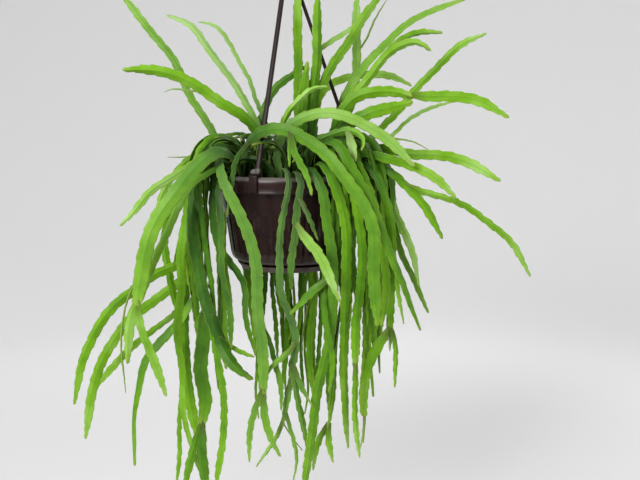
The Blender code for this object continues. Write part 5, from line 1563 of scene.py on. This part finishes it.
# %% [markdown]
# Each segment is bent on its own, and the segments of one stem are joined in one piece that
# stands for that stem's solid. Seeded random numbers vary the tone, the twist, the first notch
# and the cupping, so no two straps are alike and every run gives the same plant.


# %% Straps
def bent_strap(segment, number, tone, chance, around=AROUND):
    """One segment as a mesh, with its attributes."""
    at, strap, place = strap_rings(segment, number, chance, around)
    bm = long_tube(len(at), around)
    strap_layer = bm.verts.layers.float_vector.new("strap")
    tone_layer = bm.verts.layers.float_vector.new("tone")
    wax_and_sheen_layer = bm.verts.layers.float.new("bloom")
    # amount of wax, part of it painted sheen
    bloom = WAX_AND_SHEEN.get(segment["stem"], LITTLE_WAX_AND_SHEEN)
    kind = -1.0 if segment["parent"] is None else 0.0
    if segment["width"] <= THIN_SHOOT:
        kind = 1.0
    for corner in bm.verts:
        ring = round(corner.co.z)
        spoke = round(math.atan2(corner.co.y, corner.co.x) / math.tau * around) % around
        corner[strap_layer] = strap[ring, spoke]
        corner[tone_layer] = (tone, kind, place[ring, spoke])
        corner[wax_and_sheen_layer] = bloom
        corner.co = RIM + Vector(at[ring, spoke] * CM)
    bmesh.ops.recalc_face_normals(bm, faces=bm.faces)
    return mesh_of("strap", bm)


chance = random.Random(23)
grown = defaultdict(bmesh.new)
for number, segment in enumerate(plan):
    tones = TONES[segment["stem"]]
    count = sum(1 for other in plan[:number] if other["stem"] == segment["stem"])
    tone = tones[min(count, len(tones) - 1)] + chance.uniform(-0.05, 0.05)
    take_in(grown[segment["stem"]], bent_strap(segment, number, tone, chance))
for name, bm in grown.items():
    finish_piece(name.replace("stem", "strap"), bm, skin, [name])
print(len(grown), "stems bent")

# %% [markdown]
# The inner stems are bent in the same way, with fewer corners to a ring, because they are only
# seen in gaps. They are joined by sector and stand for no solid, so nothing is replaced.

# %% Straps of the inner stems
grown = defaultdict(bmesh.new)
for number, segment in enumerate(inner):
    group = segment["stem"].rsplit("_", 1)[0]
    tone = chance.uniform(*INNER_TONES[group.split("_")[0]])
    take_in(grown[group], bent_strap(segment, number, tone, chance, INNER_AROUND))
for name, bm in grown.items():
    finish_piece(f"inner_{name}", bm, skin, [])
print(len(grown), "groups of inner stems bent")

# %% [markdown]
# A hanging plant needs surroundings without a floor close by. A wide, pale bowl stands round it:
# a flat floor far below that curves up into a wall. It is spun from one half profile, so the view
# is calm from every side. The lamps are nearest to the middle of the floor, so the paper is a
# slightly darker grey there, which evens the floor and the wall out.

# %% Stage
MIDDLE_GREY, PALE_GREY = (0.66, 0.66, 0.66), (0.84, 0.84, 0.84)
GREY_WITHIN, PALE_BEYOND = 0.78, 1.35
FLOOR, FLAT, CURVE, WALL_TOP_EDGE = -0.72, 1.2, 1.0, 1.7
CURVE_STEPS = 12
profile = [(0.0, FLOOR), (FLAT, FLOOR)]
for number in range(1, CURVE_STEPS + 1):
    angle = math.radians(90.0 * number / CURVE_STEPS)
    profile.append((FLAT + CURVE * math.sin(angle), FLOOR + CURVE - CURVE * math.cos(angle)))
profile.append((FLAT + CURVE, WALL_TOP_EDGE))
mesh = mesh_of("bowl", turned(profile, 96, centre=Vector(), unit=1.0))
mesh.shade_smooth()
paper, wire, place, connect = new_look("paper", Roughness=0.9)
away = wire.node("ShaderNodeVectorMath", {"operation": "LENGTH"}, {0: place}, 1)
connect(blend(step(away, GREY_WITHIN, PALE_BEYOND), MIDDLE_GREY, PALE_GREY))
mesh.materials.append(paper)
bowl = add_object("bowl", mesh)
print("stage:", len(mesh.polygons), "faces")

# %% [markdown]
# The light is plain and soft: a pale world fills the shadows, a large lamp hangs above the
# plant's front left, a weaker one on the right keeps that side of the pot readable, and one behind
# lights the back. A lamp's spread keeps its light on the plant and off the wall.


# %% Light
SPREAD = math.radians(110.0)
WORLD_STRENGTH = 0.74


def lamp(name, place, aim, size, power):
    """A square lamp, aimed at a point."""
    made = bpy.data.lights.new(name, "AREA")
    made.shape = "SQUARE"
    made.size = size
    made.energy = power
    made.spread = SPREAD
    lit = add_object(name, made)
    lit.location = place
    lit.rotation_euler = (Vector(aim) - Vector(place)).to_track_quat("-Z", "Y").to_euler()


world = bpy.data.worlds.new("pale_room")
world.use_nodes = True
background = world.node_tree.nodes["Background"]
background.inputs["Color"].default_value = (1.0, 1.0, 1.0, 1.0)
background.inputs["Strength"].default_value = WORLD_STRENGTH
bpy.context.scene.world = world
middle = RIM + Vector((0.0, 0.0, -0.06))
lamp("key", (-0.75, -1.15, 0.40), middle, 0.7, 10.0)
lamp("fill", (1.2, -0.8, 0.1), middle, 0.9, 2.2)
lamp("back", (0.7, 1.2, 0.5), middle, 0.9, 3.2)
print("lights:", len(bpy.data.lights))
